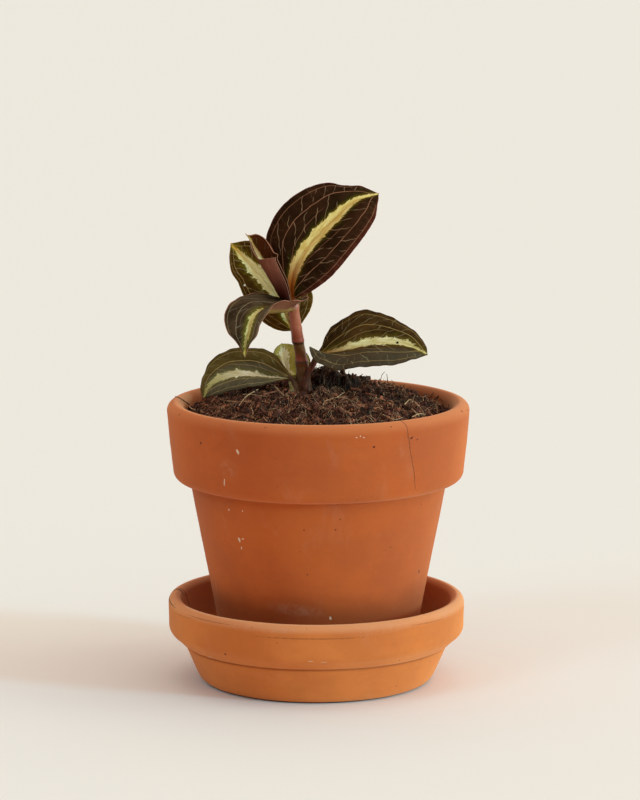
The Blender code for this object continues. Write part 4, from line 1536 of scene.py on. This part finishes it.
@dataclass
class PottingMix:
    """The potting mix: a mounded bed with crumbs, a dark clod and matted coir fibres."""

    edge_radius: float = 48.35
    edge_z: float = 98.0
    rise: float = 7.4
    dome_power: float = 3.2
    bed_z: float = 88.0
    clod_centre: Pair = (6.6, 20.5)
    clod_half: Pair = (14.0, 10.0)
    clod_height: float = 5.4
    clod_slope: float = 0.88
    lump_height: float = 0.55
    grain_sizes: Triple = (6.5, 2.4, 0.9)
    grain_heights: Triple = (2.2, 1.5, 0.7)
    heaps: tuple[Row, ...] = ((27.0, 30.0, 13.0, 2.4), (-15.0, 33.0, 13.0, 3.0))
    grid_steps: int = 220
    stem_foot: Pair = (-5.5, 7.0)
    stem_room: float = 3.6
    scatter_share: float = 0.985
    crumb_shape_count: int = 7
    fibre_points: int = 7
    fibre_bend: float = 0.34
    fibre_wander: float = 0.16
    fibre_margin: float = 0.4
    fibre_sharp_deg: float = 30.0
    crumb_sharp_deg: float = 20.0
    loose_lift: float = 2.2
    usual_lift: float = 0.4
    # The bed under the crumbs is nearly black: dark mix, with painted shade in the gaps between the crumbs.
    bed_finish: PlainFinish = mix_finish("mix_bed", tone(66, 36, 20), tone(16, 8, 4), 2.4, clouds=0.5)
    crumbs: tuple[Crumbs, ...] = (
        Crumbs("mix_crumbs", mix_finish("mix_crumbs", tone(188, 112, 80), tone(19, 9, 6), 1.3, clouds=0.85),
               4200, 0.22, 0.85, 1, 41),
        Crumbs("mix_clumps", mix_finish("mix_clumps", tone(114, 64, 46), tone(18, 9, 6), 1.1, clouds=0.6),
               380, 0.8, 1.8, 2, 46))
    coir: tuple[Coir, ...] = (
        Coir("coir_red", COIR_RED, 1300, 6.0, 0.12, 42), Coir("coir_fine", COIR_FINE, 1500, 4.2, 0.07, 48),
        Coir("coir_dark", COIR_DARK, 1500, 6.0, 0.17, 43), Coir("coir_pale", COIR_PALE, 220, 7.0, 0.09, 44))
    long_fibres: tuple[Strand, ...] = (
        (0.20, ((-25.0, 28.0, 1.6), (-19.5, 14.0, 2.4), (-15.0, 2.0, 1.8), (-12.5, -11.0, 1.0))),
        (0.16, ((-23.0, 22.0, 1.2), (-17.0, 8.0, 2.0), (-13.5, -5.0, 1.6))),
        (0.18, ((-22.0, 3.0, 1.6), (-26.0, -9.0, 1.8), (-28.5, -19.0, 1.4))),
        (0.17, ((-27.5, 2.0, 1.5), (-24.0, -5.0, 2.0), (-19.0, -9.0, 1.6))),
        (0.22, ((-47.3, 7.5, 1.6), (-46.3, 0.0, 1.2), (-44.6, -6.0, 1.2))),
        (0.30, ((-6.8, -45.6, 1.0), (-2.3, -46.0, 1.1))),
        (0.16, ((6.5, -12.0, 1.4), (9.5, -4.0, 1.8))),
        (0.20, ((31.0, -16.0, 1.4), (33.5, -10.0, 2.2), (37.0, -15.0, 1.4))),
        (0.24, ((33.5, -27.0, 1.2), (36.0, -23.0, 1.6), (38.5, -20.0, 1.2))),
        (0.22, ((36.0, -24.5, 1.3), (33.5, -19.0, 1.6))),
        (0.16, ((23.0, -30.0, 1.2), (27.0, -33.0, 1.4), (30.0, -30.0, 1.2))),
        (0.15, ((-33.0, -10.0, 1.2), (-29.0, -14.0, 1.8), (-24.0, -15.0, 1.2))),
        (0.15, ((2.0, -20.0, 1.2), (8.0, -17.0, 1.6), (13.0, -20.0, 1.2))))
    twigs: tuple[Strand, ...] = (
        (0.60, ((21.0, 17.0, 2.2), (21.5, 9.0, 2.6), (22.4, 0.5, 2.4))),
        (1.05, ((22.3, 0.6, 2.4), (22.6, -2.2, 2.0))),
        (0.45, ((17.0, -6.0, 1.0), (21.0, -10.0, 1.3))),
        (0.40, ((-20.0, -6.0, 1.0), (-15.0, -3.0, 1.4))),
        (0.45, ((12.0, 5.0, 1.0), (15.0, 1.0, 1.4))))
    hairs: tuple[Strand, ...] = (
        (0.15, ((23.0, 28.0, 1.4), (23.6, 29.0, 3.4), (24.6, 30.0, 4.8))),
        (0.15, ((30.5, 36.0, 0.6), (31.0, 37.0, 3.2), (32.2, 38.0, 4.8))),
        (0.15, ((35.0, 31.0, 0.6), (34.0, 32.0, 3.6))),
        (0.30, ((42.5, 20.0, 1.0), (44.2, 21.0, 3.0), (45.8, 22.0, 4.6))),
        (0.22, ((41.0, 22.0, 1.0), (42.5, 24.0, 4.0))),
        (0.18, ((26.0, 33.0, 0.6), (25.4, 34.0, 5.2))),
        (0.18, ((-3.0, 28.0, 3.0), (-3.6, 29.0, 7.0))),
        (0.18, ((9.0, 27.0, 1.0), (10.5, 28.0, 3.2))),
        (0.18, ((14.5, 25.0, 0.5), (16.5, 26.0, 2.6))),
        (0.26, ((-47.0, 4.0, 2.2), (-50.5, 3.0, 5.4), (-52.2, 2.0, 6.2))))

    def away(self, x: float, y: float) -> float:
        """Return the distance from the middle of the mix, as a share of its radius."""
        return min(math.hypot(x, y) / self.edge_radius, 1.0)

    def ground(self, x: float, y: float) -> float:
        """Work out the height of the mix before its crumbs.

        Args:
            x: The place's x.
            y: The place's y.

        Returns:
            The height.
        """
        away = self.away(x, y)
        heap = sum(height * math.exp(-((x - at_x) ** 2 + (y - at_y) ** 2) / spread ** 2)
                   for at_x, at_y, spread, height in self.heaps)
        dome = self.edge_z + self.rise * (1 - away ** self.dome_power) + heap * (1 - away ** 12)
        across = (x - self.clod_centre[0]) / self.clod_half[0]
        along = (y - self.clod_centre[1]) / self.clod_half[1]
        slope = max(1.0 - self.clod_slope * max(across, -0.1), 0.0)
        clod = self.clod_height * slope * max(0.0, 1.0 - (across ** 4 + along ** 4)) ** 0.5
        lumps = math.sin(0.55 * x + 1.3) * math.sin(0.48 * y + 0.4) + 0.6 * math.sin(0.9 * y - 0.35 * x)
        return dome + clod + self.lump_height * lumps * (1 - away ** 4)

    def crumbly(self, x: float, y: float) -> float:
        """Work out the height of the mix with its crumbs.

        Args:
            x: The place's x.
            y: The place's y.

        Returns:
            The height.
        """
        clumps, grains, dust = (Vector((x, y, 0.0)) / size for size in self.grain_sizes)
        levels = (noise.turbulence(clumps, 3, False) - 0.35, noise.noise(grains), noise.noise(dust))
        rough = sum(height * level for height, level in zip(self.grain_heights, levels))
        return self.ground(x, y) + rough * (1.0 - 0.6 * self.away(x, y) ** 6)

    def bed(self) -> None:
        """Make the closed bed that fills the pot's mouth."""
        bm = bmesh.new()
        bmesh.ops.create_grid(bm, x_segments=self.grid_steps, y_segments=self.grid_steps, size=self.edge_radius)
        outside = [v for v in bm.verts if v.co.xy.length > self.edge_radius]
        bmesh.ops.delete(bm, geom=outside, context="VERTS")
        for vert in bm.verts:
            if any(edge.is_boundary for edge in vert.link_edges):
                vert.co *= self.edge_radius / vert.co.xy.length
            vert.co.z = self.crumbly(vert.co.x, vert.co.y)
        rim = [edge for edge in bm.edges if edge.is_boundary]
        lower = bmesh.ops.extrude_edge_only(bm, edges=rim)["geom"]
        for vert in (item for item in lower if isinstance(item, bmesh.types.BMVert)):
            vert.co.z = self.bed_z
        bmesh.ops.holes_fill(bm, edges=[edge for edge in bm.edges if edge.is_boundary], sides=0)
        bmesh.ops.recalc_face_normals(bm, faces=bm.faces[:])
        bmesh.ops.triangulate(bm, faces=bm.faces[:])
        finish_mesh("potting_bed", bm, self.bed_finish.material(), ("soil",), 180.0)

    def crumb_shapes(self, draw: random.Random, subdivisions: int) -> list[bpy.types.Mesh]:
        """Make a few ragged crumb shapes.

        Args:
            draw: The source of random numbers.
            subdivisions: How finely each shape is divided.

        Returns:
            The shapes' meshes.
        """
        shapes = []
        for number in range(self.crumb_shape_count):
            bm = bmesh.new()
            bmesh.ops.create_icosphere(bm, subdivisions=subdivisions, radius=1.0)
            for vert in bm.verts:
                vert.co *= draw.uniform(0.65, 1.2)
            mesh = bpy.data.meshes.new(f"crumb_{number}")
            bm.to_mesh(mesh)
            bm.free()
            shapes.append(mesh)
        return shapes

    def scattered(self, draw: random.Random) -> Pair:
        """Draw a random place on the mix, clear of the stem.

        Args:
            draw: The source of random numbers.

        Returns:
            The place's x and y.
        """
        while True:
            turn = draw.uniform(0, 2 * math.pi)
            away = self.edge_radius * math.sqrt(draw.random()) * self.scatter_share
            x, y = away * math.cos(turn), away * math.sin(turn)
            if math.dist((x, y), self.stem_foot) > self.stem_room:
                return x, y

    def crumb_bed(self, kind: Crumbs) -> None:
        """Scatter one size of crumb over the bed.

        Args:
            kind: The crumbs.
        """
        draw = random.Random(kind.seed)
        shapes = self.crumb_shapes(draw, kind.subdivisions)
        bm = bmesh.new()
        for _ in range(kind.count):
            x, y = self.scattered(draw)
            size = kind.least + (kind.most - kind.least) * draw.random() ** 2.4
            stretch = Matrix.Diagonal((size * draw.uniform(0.8, 1.3), size, size * draw.uniform(0.6, 1.0), 1.0))
            turn = Matrix.Rotation(draw.uniform(0, 6.28), 4, Vector((draw.gauss(0, 1), draw.gauss(0, 1), 0.8)))
            place = Matrix.Translation((x, y, self.crumbly(x, y) + 0.35 * size))
            moved = draw.choice(shapes).copy()
            moved.transform(place @ turn @ stretch)
            bm.from_mesh(moved)
            bpy.data.meshes.remove(moved)
        for shape in shapes:
            bpy.data.meshes.remove(shape)
        finish_mesh(kind.name, bm, kind.finish.material(), (), self.crumb_sharp_deg)

    def fibre(self, draw: random.Random, length: float, radius: float, lift: float) -> np.ndarray:
        """Return one fibre's rows of x, y, z and radius, following the mix.

        Args:
            draw: The source of random numbers.
            length: The fibre's length.
            radius: Its radius.
            lift: How far it stands off the mix at its free end.

        Returns:
            The rows.
        """
        x, y = self.scattered(draw)
        heading, bend = draw.uniform(0, 2 * math.pi), draw.gauss(0, self.fibre_bend)
        step = length / (self.fibre_points - 1)
        reach = self.edge_radius - self.fibre_margin
        rows = []
        low = draw.uniform(-0.25, 0.55)
        for number in range(self.fibre_points):
            share = number / (self.fibre_points - 1)
            away = math.hypot(x, y)
            if away > reach:
                x, y = (value * reach / away for value in (x, y))
            thin = radius * (1.0 - 0.55 * share)
            rows.append((x, y, self.crumbly(x, y) + low + lift * share ** 2, thin))
            heading += bend + draw.gauss(0, self.fibre_wander)
            x, y = x + step * math.cos(heading), y + step * math.sin(heading)
        return np.array(rows)

    def fibres(self, kind: Coir) -> None:
        """Scatter coir fibres of one colour.

        Args:
            kind: The fibres.
        """
        draw = random.Random(kind.seed)
        lines = []
        for _ in range(kind.count):
            length = kind.length * draw.uniform(0.45, 1.6)
            lift = self.loose_lift * draw.random() ** 5 + self.usual_lift * draw.random()
            lines.append(self.fibre(draw, length, kind.radius * draw.uniform(0.6, 1.5), lift))
        dress(kind.name, swept(kind.name, lines, 0), kind.finish.material(), (), self.fibre_sharp_deg)

    def strands(self, name: str, finish: PlainFinish, laid: tuple[Strand, ...]) -> None:
        """Lay single fibres and twigs that stand out.

        Args:
            name: The piece's name.
            finish: Its finish.
            laid: For each one, its radius and its points of x, y and height over the mix.
        """
        lines = []
        for radius, points in laid:
            rows = tuple((x, y, self.ground(x, y) + over, radius) for x, y, over in points)
            curve = smooth_curve(rows, 16)
            curve[:, 3] *= np.linspace(1.0, 0.6, len(curve))
            lines.append(curve)
        dress(name, swept(name, lines, 1), finish.material(), (), self.fibre_sharp_deg)

    def build(self) -> None:
        """Make the bed, its crumbs and its fibres."""
        self.bed()
        for kind in self.crumbs:
            self.crumb_bed(kind)
        for kind in self.coir:
            self.fibres(kind)
        self.strands("long_fibres", COIR_PALE, self.long_fibres)
        self.strands("twigs", COIR_RED, self.twigs)
        self.strands("hairs", COIR_DARK, self.hairs)


# The pot's darkened foot is moist clay with the saucer's shade painted in. Its dark line under the collar is painted
# shade. Its paler lip is partly wear and partly a painted highlight.
POT_CLAY = ClayFinish(
    "pot_clay", "pot_clay", tone(199, 96, 40), tone(185, 86, 35), tone(212, 126, 75), radius=50.0, centre_x=0.0,
    lip_from=98.5, lip_to=102.4, seed=3.0, damp_and_shade_top=40.0, painted_shade_lines=((73.9, 0.7, 0.16),),
    chips=(Mark(-31.4, 92.4, 0.45, 0.95, 12.0), Mark(-38.7, 80.6, 0.24, 1.2, -6.0), Mark(-44.1, 69.0, 0.4, 0.35),
           Mark(-40.2, 58.4, 0.6, 0.9, 20.0), Mark(-39.4, 55.2, 0.35, 0.6, -25.0), Mark(-37.8, 58.8, 0.5, 0.3),
           Mark(-36.0, 69.4, 0.3, 0.3), Mark(6.5, 30.6, 0.5, 0.6, 30.0), Mark(14.2, 98.8, 0.25, 0.2),
           Mark(15.6, 99.2, 0.2, 0.2), Mark(16.9, 98.7, 0.35, 0.18)),
    scuffs=(Mark(-36.5, 85.8, 4.2, 4.0), Mark(-70.0, 36.0, 0.8, 7.0, -20.0), Mark(-12.0, 33.5, 15.0, 2.6, -4.0)),
    stains=(Mark(-49.9, 93.6, 0.45, 0.45), Mark(62.6, 43.4, 0.55, 0.75), Mark(20.9, 95.1, 0.35, 0.40),
            Mark(36.8, 97.0, 0.7, 0.35, 30.0), Mark(39.6, 96.2, 0.3, 0.3), Mark(72.0, 101.9, 0.5, 0.3),
            Mark(80.0, 101.2, 0.4, 0.5), Mark(-66.0, 101.6, 0.3, 0.25), Mark(-20.0, 101.9, 0.4, 0.12),
            Mark(28.0, 101.7, 0.35, 0.14), Mark(84.0, 97.0, 0.25, 1.2)),
    cracks=(Crack(34.0, 102.6, -0.262, 77.0, 103.2, 0.13),))
# The saucer's darker inner wall is painted shade, and so are its dark lines at the step and along the foot. Its paler
# lip is partly wear and partly a painted highlight.
SAUCER_CLAY = ClayFinish(
    "saucer_clay", "saucer_clay", tone(221, 127, 60), tone(207, 113, 50), tone(232, 164, 115), radius=52.0,
    centre_x=-0.8, lip_from=27.6, lip_to=30.4, seed=19.0, inner_wall_and_shade=tone(184, 104, 62), inside_radius=51.4,
    inside_above=18.0, painted_shade_lines=((13.9, 0.5, 0.30), (0.1, 0.5, 0.92)),
    chips=(Mark(-50.0, 14.9, 1.6, 0.12, 6.0), Mark(-2.0, 18.4, 0.9, 0.12, 0.0), Mark(3.0, 18.0, 1.2, 0.10, 0.0)),
    scuffs=(Mark(24.0, 29.0, 15.0, 2.0), Mark(-20.0, 29.4, 16.0, 1.6), Mark(60.0, 29.6, 9.0, 1.6)),
    stains=(Mark(-37.3, 18.5, 0.45, 0.45), Mark(-98.0, 30.4, 0.7, 1.5, 12.0), Mark(-84.0, 29.9, 11.0, 0.16, -1.0)),
    creases=(Mark(-84.0, 29.3, 8.0, 0.22, -3.0), Mark(-3.0, 26.7, 19.0, 0.24, 0.0), Mark(-46.0, 29.6, 12.0, 0.20, 0.0),
             Mark(48.0, 28.6, 9.0, 0.16, -2.0), Mark(-62.0, 28.4, 8.0, 0.14, 3.0)),
    cracks=(Crack(-101.0, 30.0, 0.6, 23.0, 31.6, 0.36),))


class LeafLook(Enum):
    """The finish of each leaf."""

    UPRIGHT = LeafFinish("leaf_upright_look", "dark_leaf", tone(34, 17, 6), tone(54, 29, 14), tone(38, 34, 4),
                         seed=2.0, band=tone(200, 158, 82), band_pale=tone(222, 192, 122), vein=tone(180, 116, 84),
                         net=tone(176, 134, 100), margin=tone(96, 34, 24), halo=tone(88, 66, 12), band_half=2.0,
                         feather=0.26, vein_share=0.52, net_share=0.42, rungs=0.25, foot_until=0.46,
                         band_foot=tone(156, 82, 26), band_tip=tone(230, 198, 124), low_side=1.0, low_from=0.74,
                         low_tint_and_sheen=tone(76, 32, 20))
    BACK = LeafFinish("leaf_back_look", "dark_leaf", tone(56, 35, 9), tone(88, 56, 16), tone(92, 74, 10),
                      seed=13.0, band=tone(220, 194, 122), band_pale=tone(240, 224, 164), halo=tone(104, 84, 14),
                      band_half=2.1, widest=1.9, feather=0.60, main_vein=0.72, vein=tone(180, 146, 88),
                      margin=tone(138, 100, 26), net_share=0.46, band_foot=tone(172, 118, 40), foot_until=0.40,
                      band_tip=tone(212, 164, 62), spots=(Spot(27.8, -6.9, 0.36, tone(240, 232, 218)),))
    DROOPING = LeafFinish("leaf_drooping_look", "dark_leaf", tone(42, 27, 12), tone(86, 62, 42), tone(52, 42, 10),
                          seed=23.0, band=tone(190, 168, 94), band_pale=tone(214, 198, 132), halo=tone(110, 98, 26),
                          band_half=1.0, feather=0.50, main_vein=0.52, vein=tone(156, 132, 96),
                          net=tone(140, 128, 106), margin=tone(176, 114, 88), foot_until=0.22, net_share=0.38,
                          rungs=0.2, under=tone(126, 74, 52), under_rib=tone(142, 104, 54), roughness=0.56, gloss=0.04)
    # The two low leaves are tinted grey over one side of the blade as a painted sheen.
    LOW_LEFT = LeafFinish("leaf_low_left_look", "dark_leaf", tone(78, 63, 28), tone(106, 87, 44), tone(80, 72, 36),
                          seed=31.0, band=tone(222, 202, 156), band_pale=tone(246, 236, 208), halo=tone(120, 112, 62),
                          band_half=1.7, widest=1.5, feather=0.55, vein_share=0.74, main_vein=0.46, outer_vein=0.82,
                          vein=tone(192, 162, 108), net=tone(166, 160, 116), margin=tone(58, 42, 18),
                          band_foot=tone(112, 96, 62), shift=0.45, net_share=0.42, tip_from=0.50,
                          band_tip=tone(196, 184, 108), low_side=-1.0, low_from=-0.45, low_tint_and_sheen=tone(98, 89, 72))
    LOW_RIGHT = LeafFinish("leaf_low_right_look", "dark_leaf", tone(44, 28, 10), tone(76, 50, 22), tone(60, 50, 13),
                           seed=47.0, band=tone(198, 176, 112), band_pale=tone(232, 214, 164), halo=tone(94, 72, 24),
                           band_half=1.75, widest=1.5, feather=0.60, main_vein=0.50, outer_vein=0.83,
                           vein=tone(176, 142, 80), net=tone(176, 156, 112), margin=tone(60, 36, 14),
                           band_foot=tone(166, 114, 54), foot_until=0.52, net_share=0.32, rungs=0.95,
                           low_side=1.0, low_from=0.22, low_tint_and_sheen=tone(74, 63, 48), band_tip=tone(214, 194, 124),
                           spots=(Spot(40.0, -0.1, 0.50, tone(20, 14, 8)), Spot(52.0, 0.4, 0.6, tone(84, 62, 40))))
    SMALL = LeafFinish("leaf_small_look", "pale_leaf", tone(140, 126, 48), tone(200, 186, 100), tone(184, 166, 78),
                       seed=59.0, band=tone(248, 236, 172), band_pale=tone(255, 250, 224), halo=tone(200, 178, 84),
                       band_half=1.7, feather=0.90, vein=tone(210, 188, 104), net=tone(208, 190, 112),
                       margin=tone(112, 88, 22), under=tone(160, 144, 66), under_rib=tone(184, 166, 92),
                       band_foot=tone(206, 188, 112), net_share=0.60, rungs=0.6)
    FURLED = LeafFinish("leaf_furled_look", "young_leaf", tone(62, 25, 9), tone(88, 42, 18), tone(72, 48, 12),
                        seed=71.0, band=tone(216, 178, 112), band_pale=tone(234, 206, 144), halo=tone(112, 74, 28),
                        band_half=1.05, feather=0.25, vein=tone(130, 70, 46), margin=tone(182, 124, 96),
                        under=tone(112, 60, 44), under_rib=tone(128, 76, 56), under_foot=tone(52, 18, 11),
                        under_foot_until=0.55, net_share=0.30)


LEAVES = (
    LeafBlade("leaf_upright", LeafLook.UPRIGHT.value, 150, 84, crown=0.9, petiole_radius=0.9, wave=0.34,
              petiole=((-9.2, 3.3, 137.0), (-9.2, 3.9, 138.8)),
              midrib=((-9.5, 4.2, 140), (-10, 4.3, 143.5), (-9, 4.6, 149), (-6.5, 5, 155), (-1.5, 6.5, 161.5),
                      (5.5, 8.5, 168.5), (13.5, 11.5, 175), (22, 15.5, 177)),
              left=((-10, 4.4, 140), (-13.5, 6, 145.5), (-17.5, 7.5, 153), (-19, 8, 161), (-17.5, 7.5, 166.5),
                    (-13, 8, 173.5), (-5.5, 9, 179), (2.5, 10, 181.5), (9, 11.5, 180.5), (15, 13, 180),
                    (22, 15.5, 177)),
              right=((-9, 4, 140), (-6.5, 3.3, 140.8), (-2, 3, 143), (5, 2.5, 148.5), (11.5, 4, 156), (17, 6, 163),
                     (20.5, 8.5, 168.5), (21.5, 12, 172.5), (22, 15.5, 177))),
    LeafBlade("leaf_back", LeafLook.BACK.value, 120, 64, crown=0.9, petiole_radius=0.9, wave=0.25,
              petiole=((-8, 4, 126.5), (-8.2, 5.8, 127)),
              midrib=((-8.5, 7.4, 127.6), (-11, 8, 131), (-13.5, 9, 136.5), (-17, 10, 142.5), (-21.5, 11, 148),
                      (-27, 12, 153.5), (-32, 13, 159)),
              left=((-9, 7.4, 127.5), (-14, 8, 127.5), (-19.5, 9, 130), (-24.5, 10.5, 135), (-27.5, 11.5, 140),
                    (-29.5, 12, 145), (-31.5, 11.5, 148), (-32.5, 12, 153), (-32, 13, 159)),
              right=((-8, 7.4, 127.6), (-5.5, 8, 131), (-3, 9, 135), (-2, 10, 139.5), (-4.5, 11, 146.5),
                     (-9.5, 12, 153.5), (-17.5, 13, 158.5), (-25, 13, 160), (-32, 13, 159))),
    LeafBlade("leaf_drooping", LeafLook.DROOPING.value, 120, 64, crown=0.8, petiole_radius=1.2, wave=0.25,
              keel_foot=0.4, keel_half=1.8, ragged=0.16,
              petiole=((-8.6, 1.8, 136.2), (-9.6, 0, 136.7)),
              midrib=((-10.7, -1.2, 136.8), (-13, -2.5, 136.5), (-17, -4.5, 136.5), (-21, -6.5, 136.5),
                      (-24, -8, 134), (-25, -8.5, 130), (-26.5, -8, 125), (-26.5, -7.5, 120)),
              left=((-4.5, 0, 142), (-3.5, -1.5, 141), (-5.5, -2.5, 140), (-9, -3.7, 140.5), (-13, -5, 140.5),
                    (-16, -7, 139), (-18.5, -8.5, 136), (-21, -9, 132), (-22, -9, 128.5), (-24.5, -8.5, 125),
                    (-26.5, -7.5, 120)),
              right=((-12.5, 1.5, 139.2), (-14.5, 3.3, 140.8), (-18, 3.5, 141.5), (-22.5, 2.5, 142),
                     (-28, -0.5, 141.5), (-32.5, -4, 138.5), (-34, -7, 135), (-33, -9, 130), (-29.5, -8.5, 125.5),
                     (-26.5, -7.5, 120))),
    LeafBlade("leaf_low_left", LeafLook.LOW_LEFT.value, 120, 64, crown=1.0, petiole_radius=1.0, wave=0.25,
              petiole=((-5.5, 6.5, 106.8), (-8, 5.5, 108.8)),
              midrib=((-10, 6, 110.4), (-13, 7, 110.6), (-18.5, 10, 110.6), (-25, 13.5, 110.5),
                      (-32.5, 17, 109.1), (-39, 19, 105.6), (-42.5, 20, 100.5)),
              left=((-10, 5.5, 110), (-12.5, 4.5, 110), (-18.5, 4, 108.5), (-25, 5.5, 107), (-31.5, 9.5, 105),
                    (-37.5, 14, 102.6), (-40.5, 17.5, 101.2), (-42.5, 20, 100.5)),
              right=((-10, 6.8, 111), (-12.5, 8, 114.5), (-15.5, 10.5, 118), (-20.5, 16.5, 119.5),
                     (-27, 22.5, 119), (-34, 26.5, 117.5), (-40, 27.5, 113), (-43, 26, 107.5), (-43.5, 23, 103.8),
                     (-42.5, 20, 100.5))),
    LeafBlade("leaf_small", LeafLook.SMALL.value, 80, 48, crown=0.5, petiole_radius=0.9, wave=0.12, pillow=0.08,
              petiole=((-5.5, 7.5, 107), (-8.2, 9, 109)),
              midrib=((-10.5, 9.6, 110.5), (-11.5, 11, 112), (-12.5, 12.5, 115.5), (-13, 13.5, 119),
                      (-13.5, 13.5, 122)),
              left=((-11, 10, 110.5), (-13.5, 11.5, 112), (-16, 13, 115), (-16.5, 13, 118.5), (-15.5, 13.5, 120.5),
                    (-13.5, 13.5, 122)),
              right=((-10, 9.6, 110.5), (-7, 11, 111), (-4, 12.5, 113), (-3, 13, 116), (-5.5, 14, 119.5),
                     (-9.5, 14, 121.5), (-13.5, 13.5, 122))),
    LeafBlade("leaf_low_right", LeafLook.LOW_RIGHT.value, 130, 76, crown=0.9, petiole_radius=1.0, wave=0.28,
              petiole=((-5.5, 6.3, 110.5), (-3.2, 5, 113.8)),
              midrib=((-1.4, 3.6, 117.2), (1.5, 2.5, 119.2), (5.5, 1.5, 120.2), (12, 1, 122.2), (18.5, 1, 123.9),
                      (25, 0, 124.4), (31, -1, 124), (36, -2.5, 122.4), (39.5, -4, 120.5)),
              left=((-1.2, 4, 117.8), (0.5, 5.5, 121), (3, 8, 126.5), (7, 9.5, 130.5), (12.5, 10.5, 133.5),
                    (17.5, 10.5, 135), (23.5, 9.5, 133.5), (30, 7, 131), (36, 3.5, 127), (39, -0.5, 123.5),
                    (39.5, -4, 120.5)),
              right=((-1.9, 3.2, 117.6), (-3, 1, 122.5), (-3, -1, 121), (-1.5, -3.5, 118.5), (2.5, -6, 116.5),
                     (8, -8, 115.5), (15.5, -9.5, 117), (25, -10, 117.5), (33, -8.5, 119), (39.5, -4, 120.5))),
    FurledLeaf("leaf_furled", LeafLook.FURLED.value, 110, 96, thickness=0.36, keel_foot=0.0, keel_tip=0.0,
               outside=Side.UNDER,
               axis=((-10.2, 1.8, 137.8, 1.0), (-11.3, 1.4, 140.0, 1.5), (-12.3, 1.0, 142.0, 2.2),
                     (-13.9, 0.0, 146.0, 2.8), (-15.9, 0.0, 150.0, 3.0), (-18.0, 0.5, 154.0, 3.2),
                     (-20.2, 1.0, 158.0, 3.4), (-22.0, 1.5, 160.6, 3.1), (-24.0, 2.0, 162.5, 1.9),
                     (-26.5, 3.0, 164.0, 0.25))),
)


def write_sizes() -> None:
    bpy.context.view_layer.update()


def main() -> None:
    """Build the studio and every piece of the plant, logging each piece's triangle count, then update the view layer.
    """
    logging.basicConfig(level=logging.INFO, format="%(name)s: %(message)s", stream=sys.stdout)
    Studio().build()
    SharedGroups.build()
    ClaySaucer("saucer_turned", "saucer", SAUCER_CLAY).build()
    ClayPot("pot_turned", "pot", POT_CLAY).build()
    PottingMix().build()
    Stem().build()
    for leaf in LEAVES:
        leaf.build()
    write_sizes()


if __name__ == "__main__":
    main()
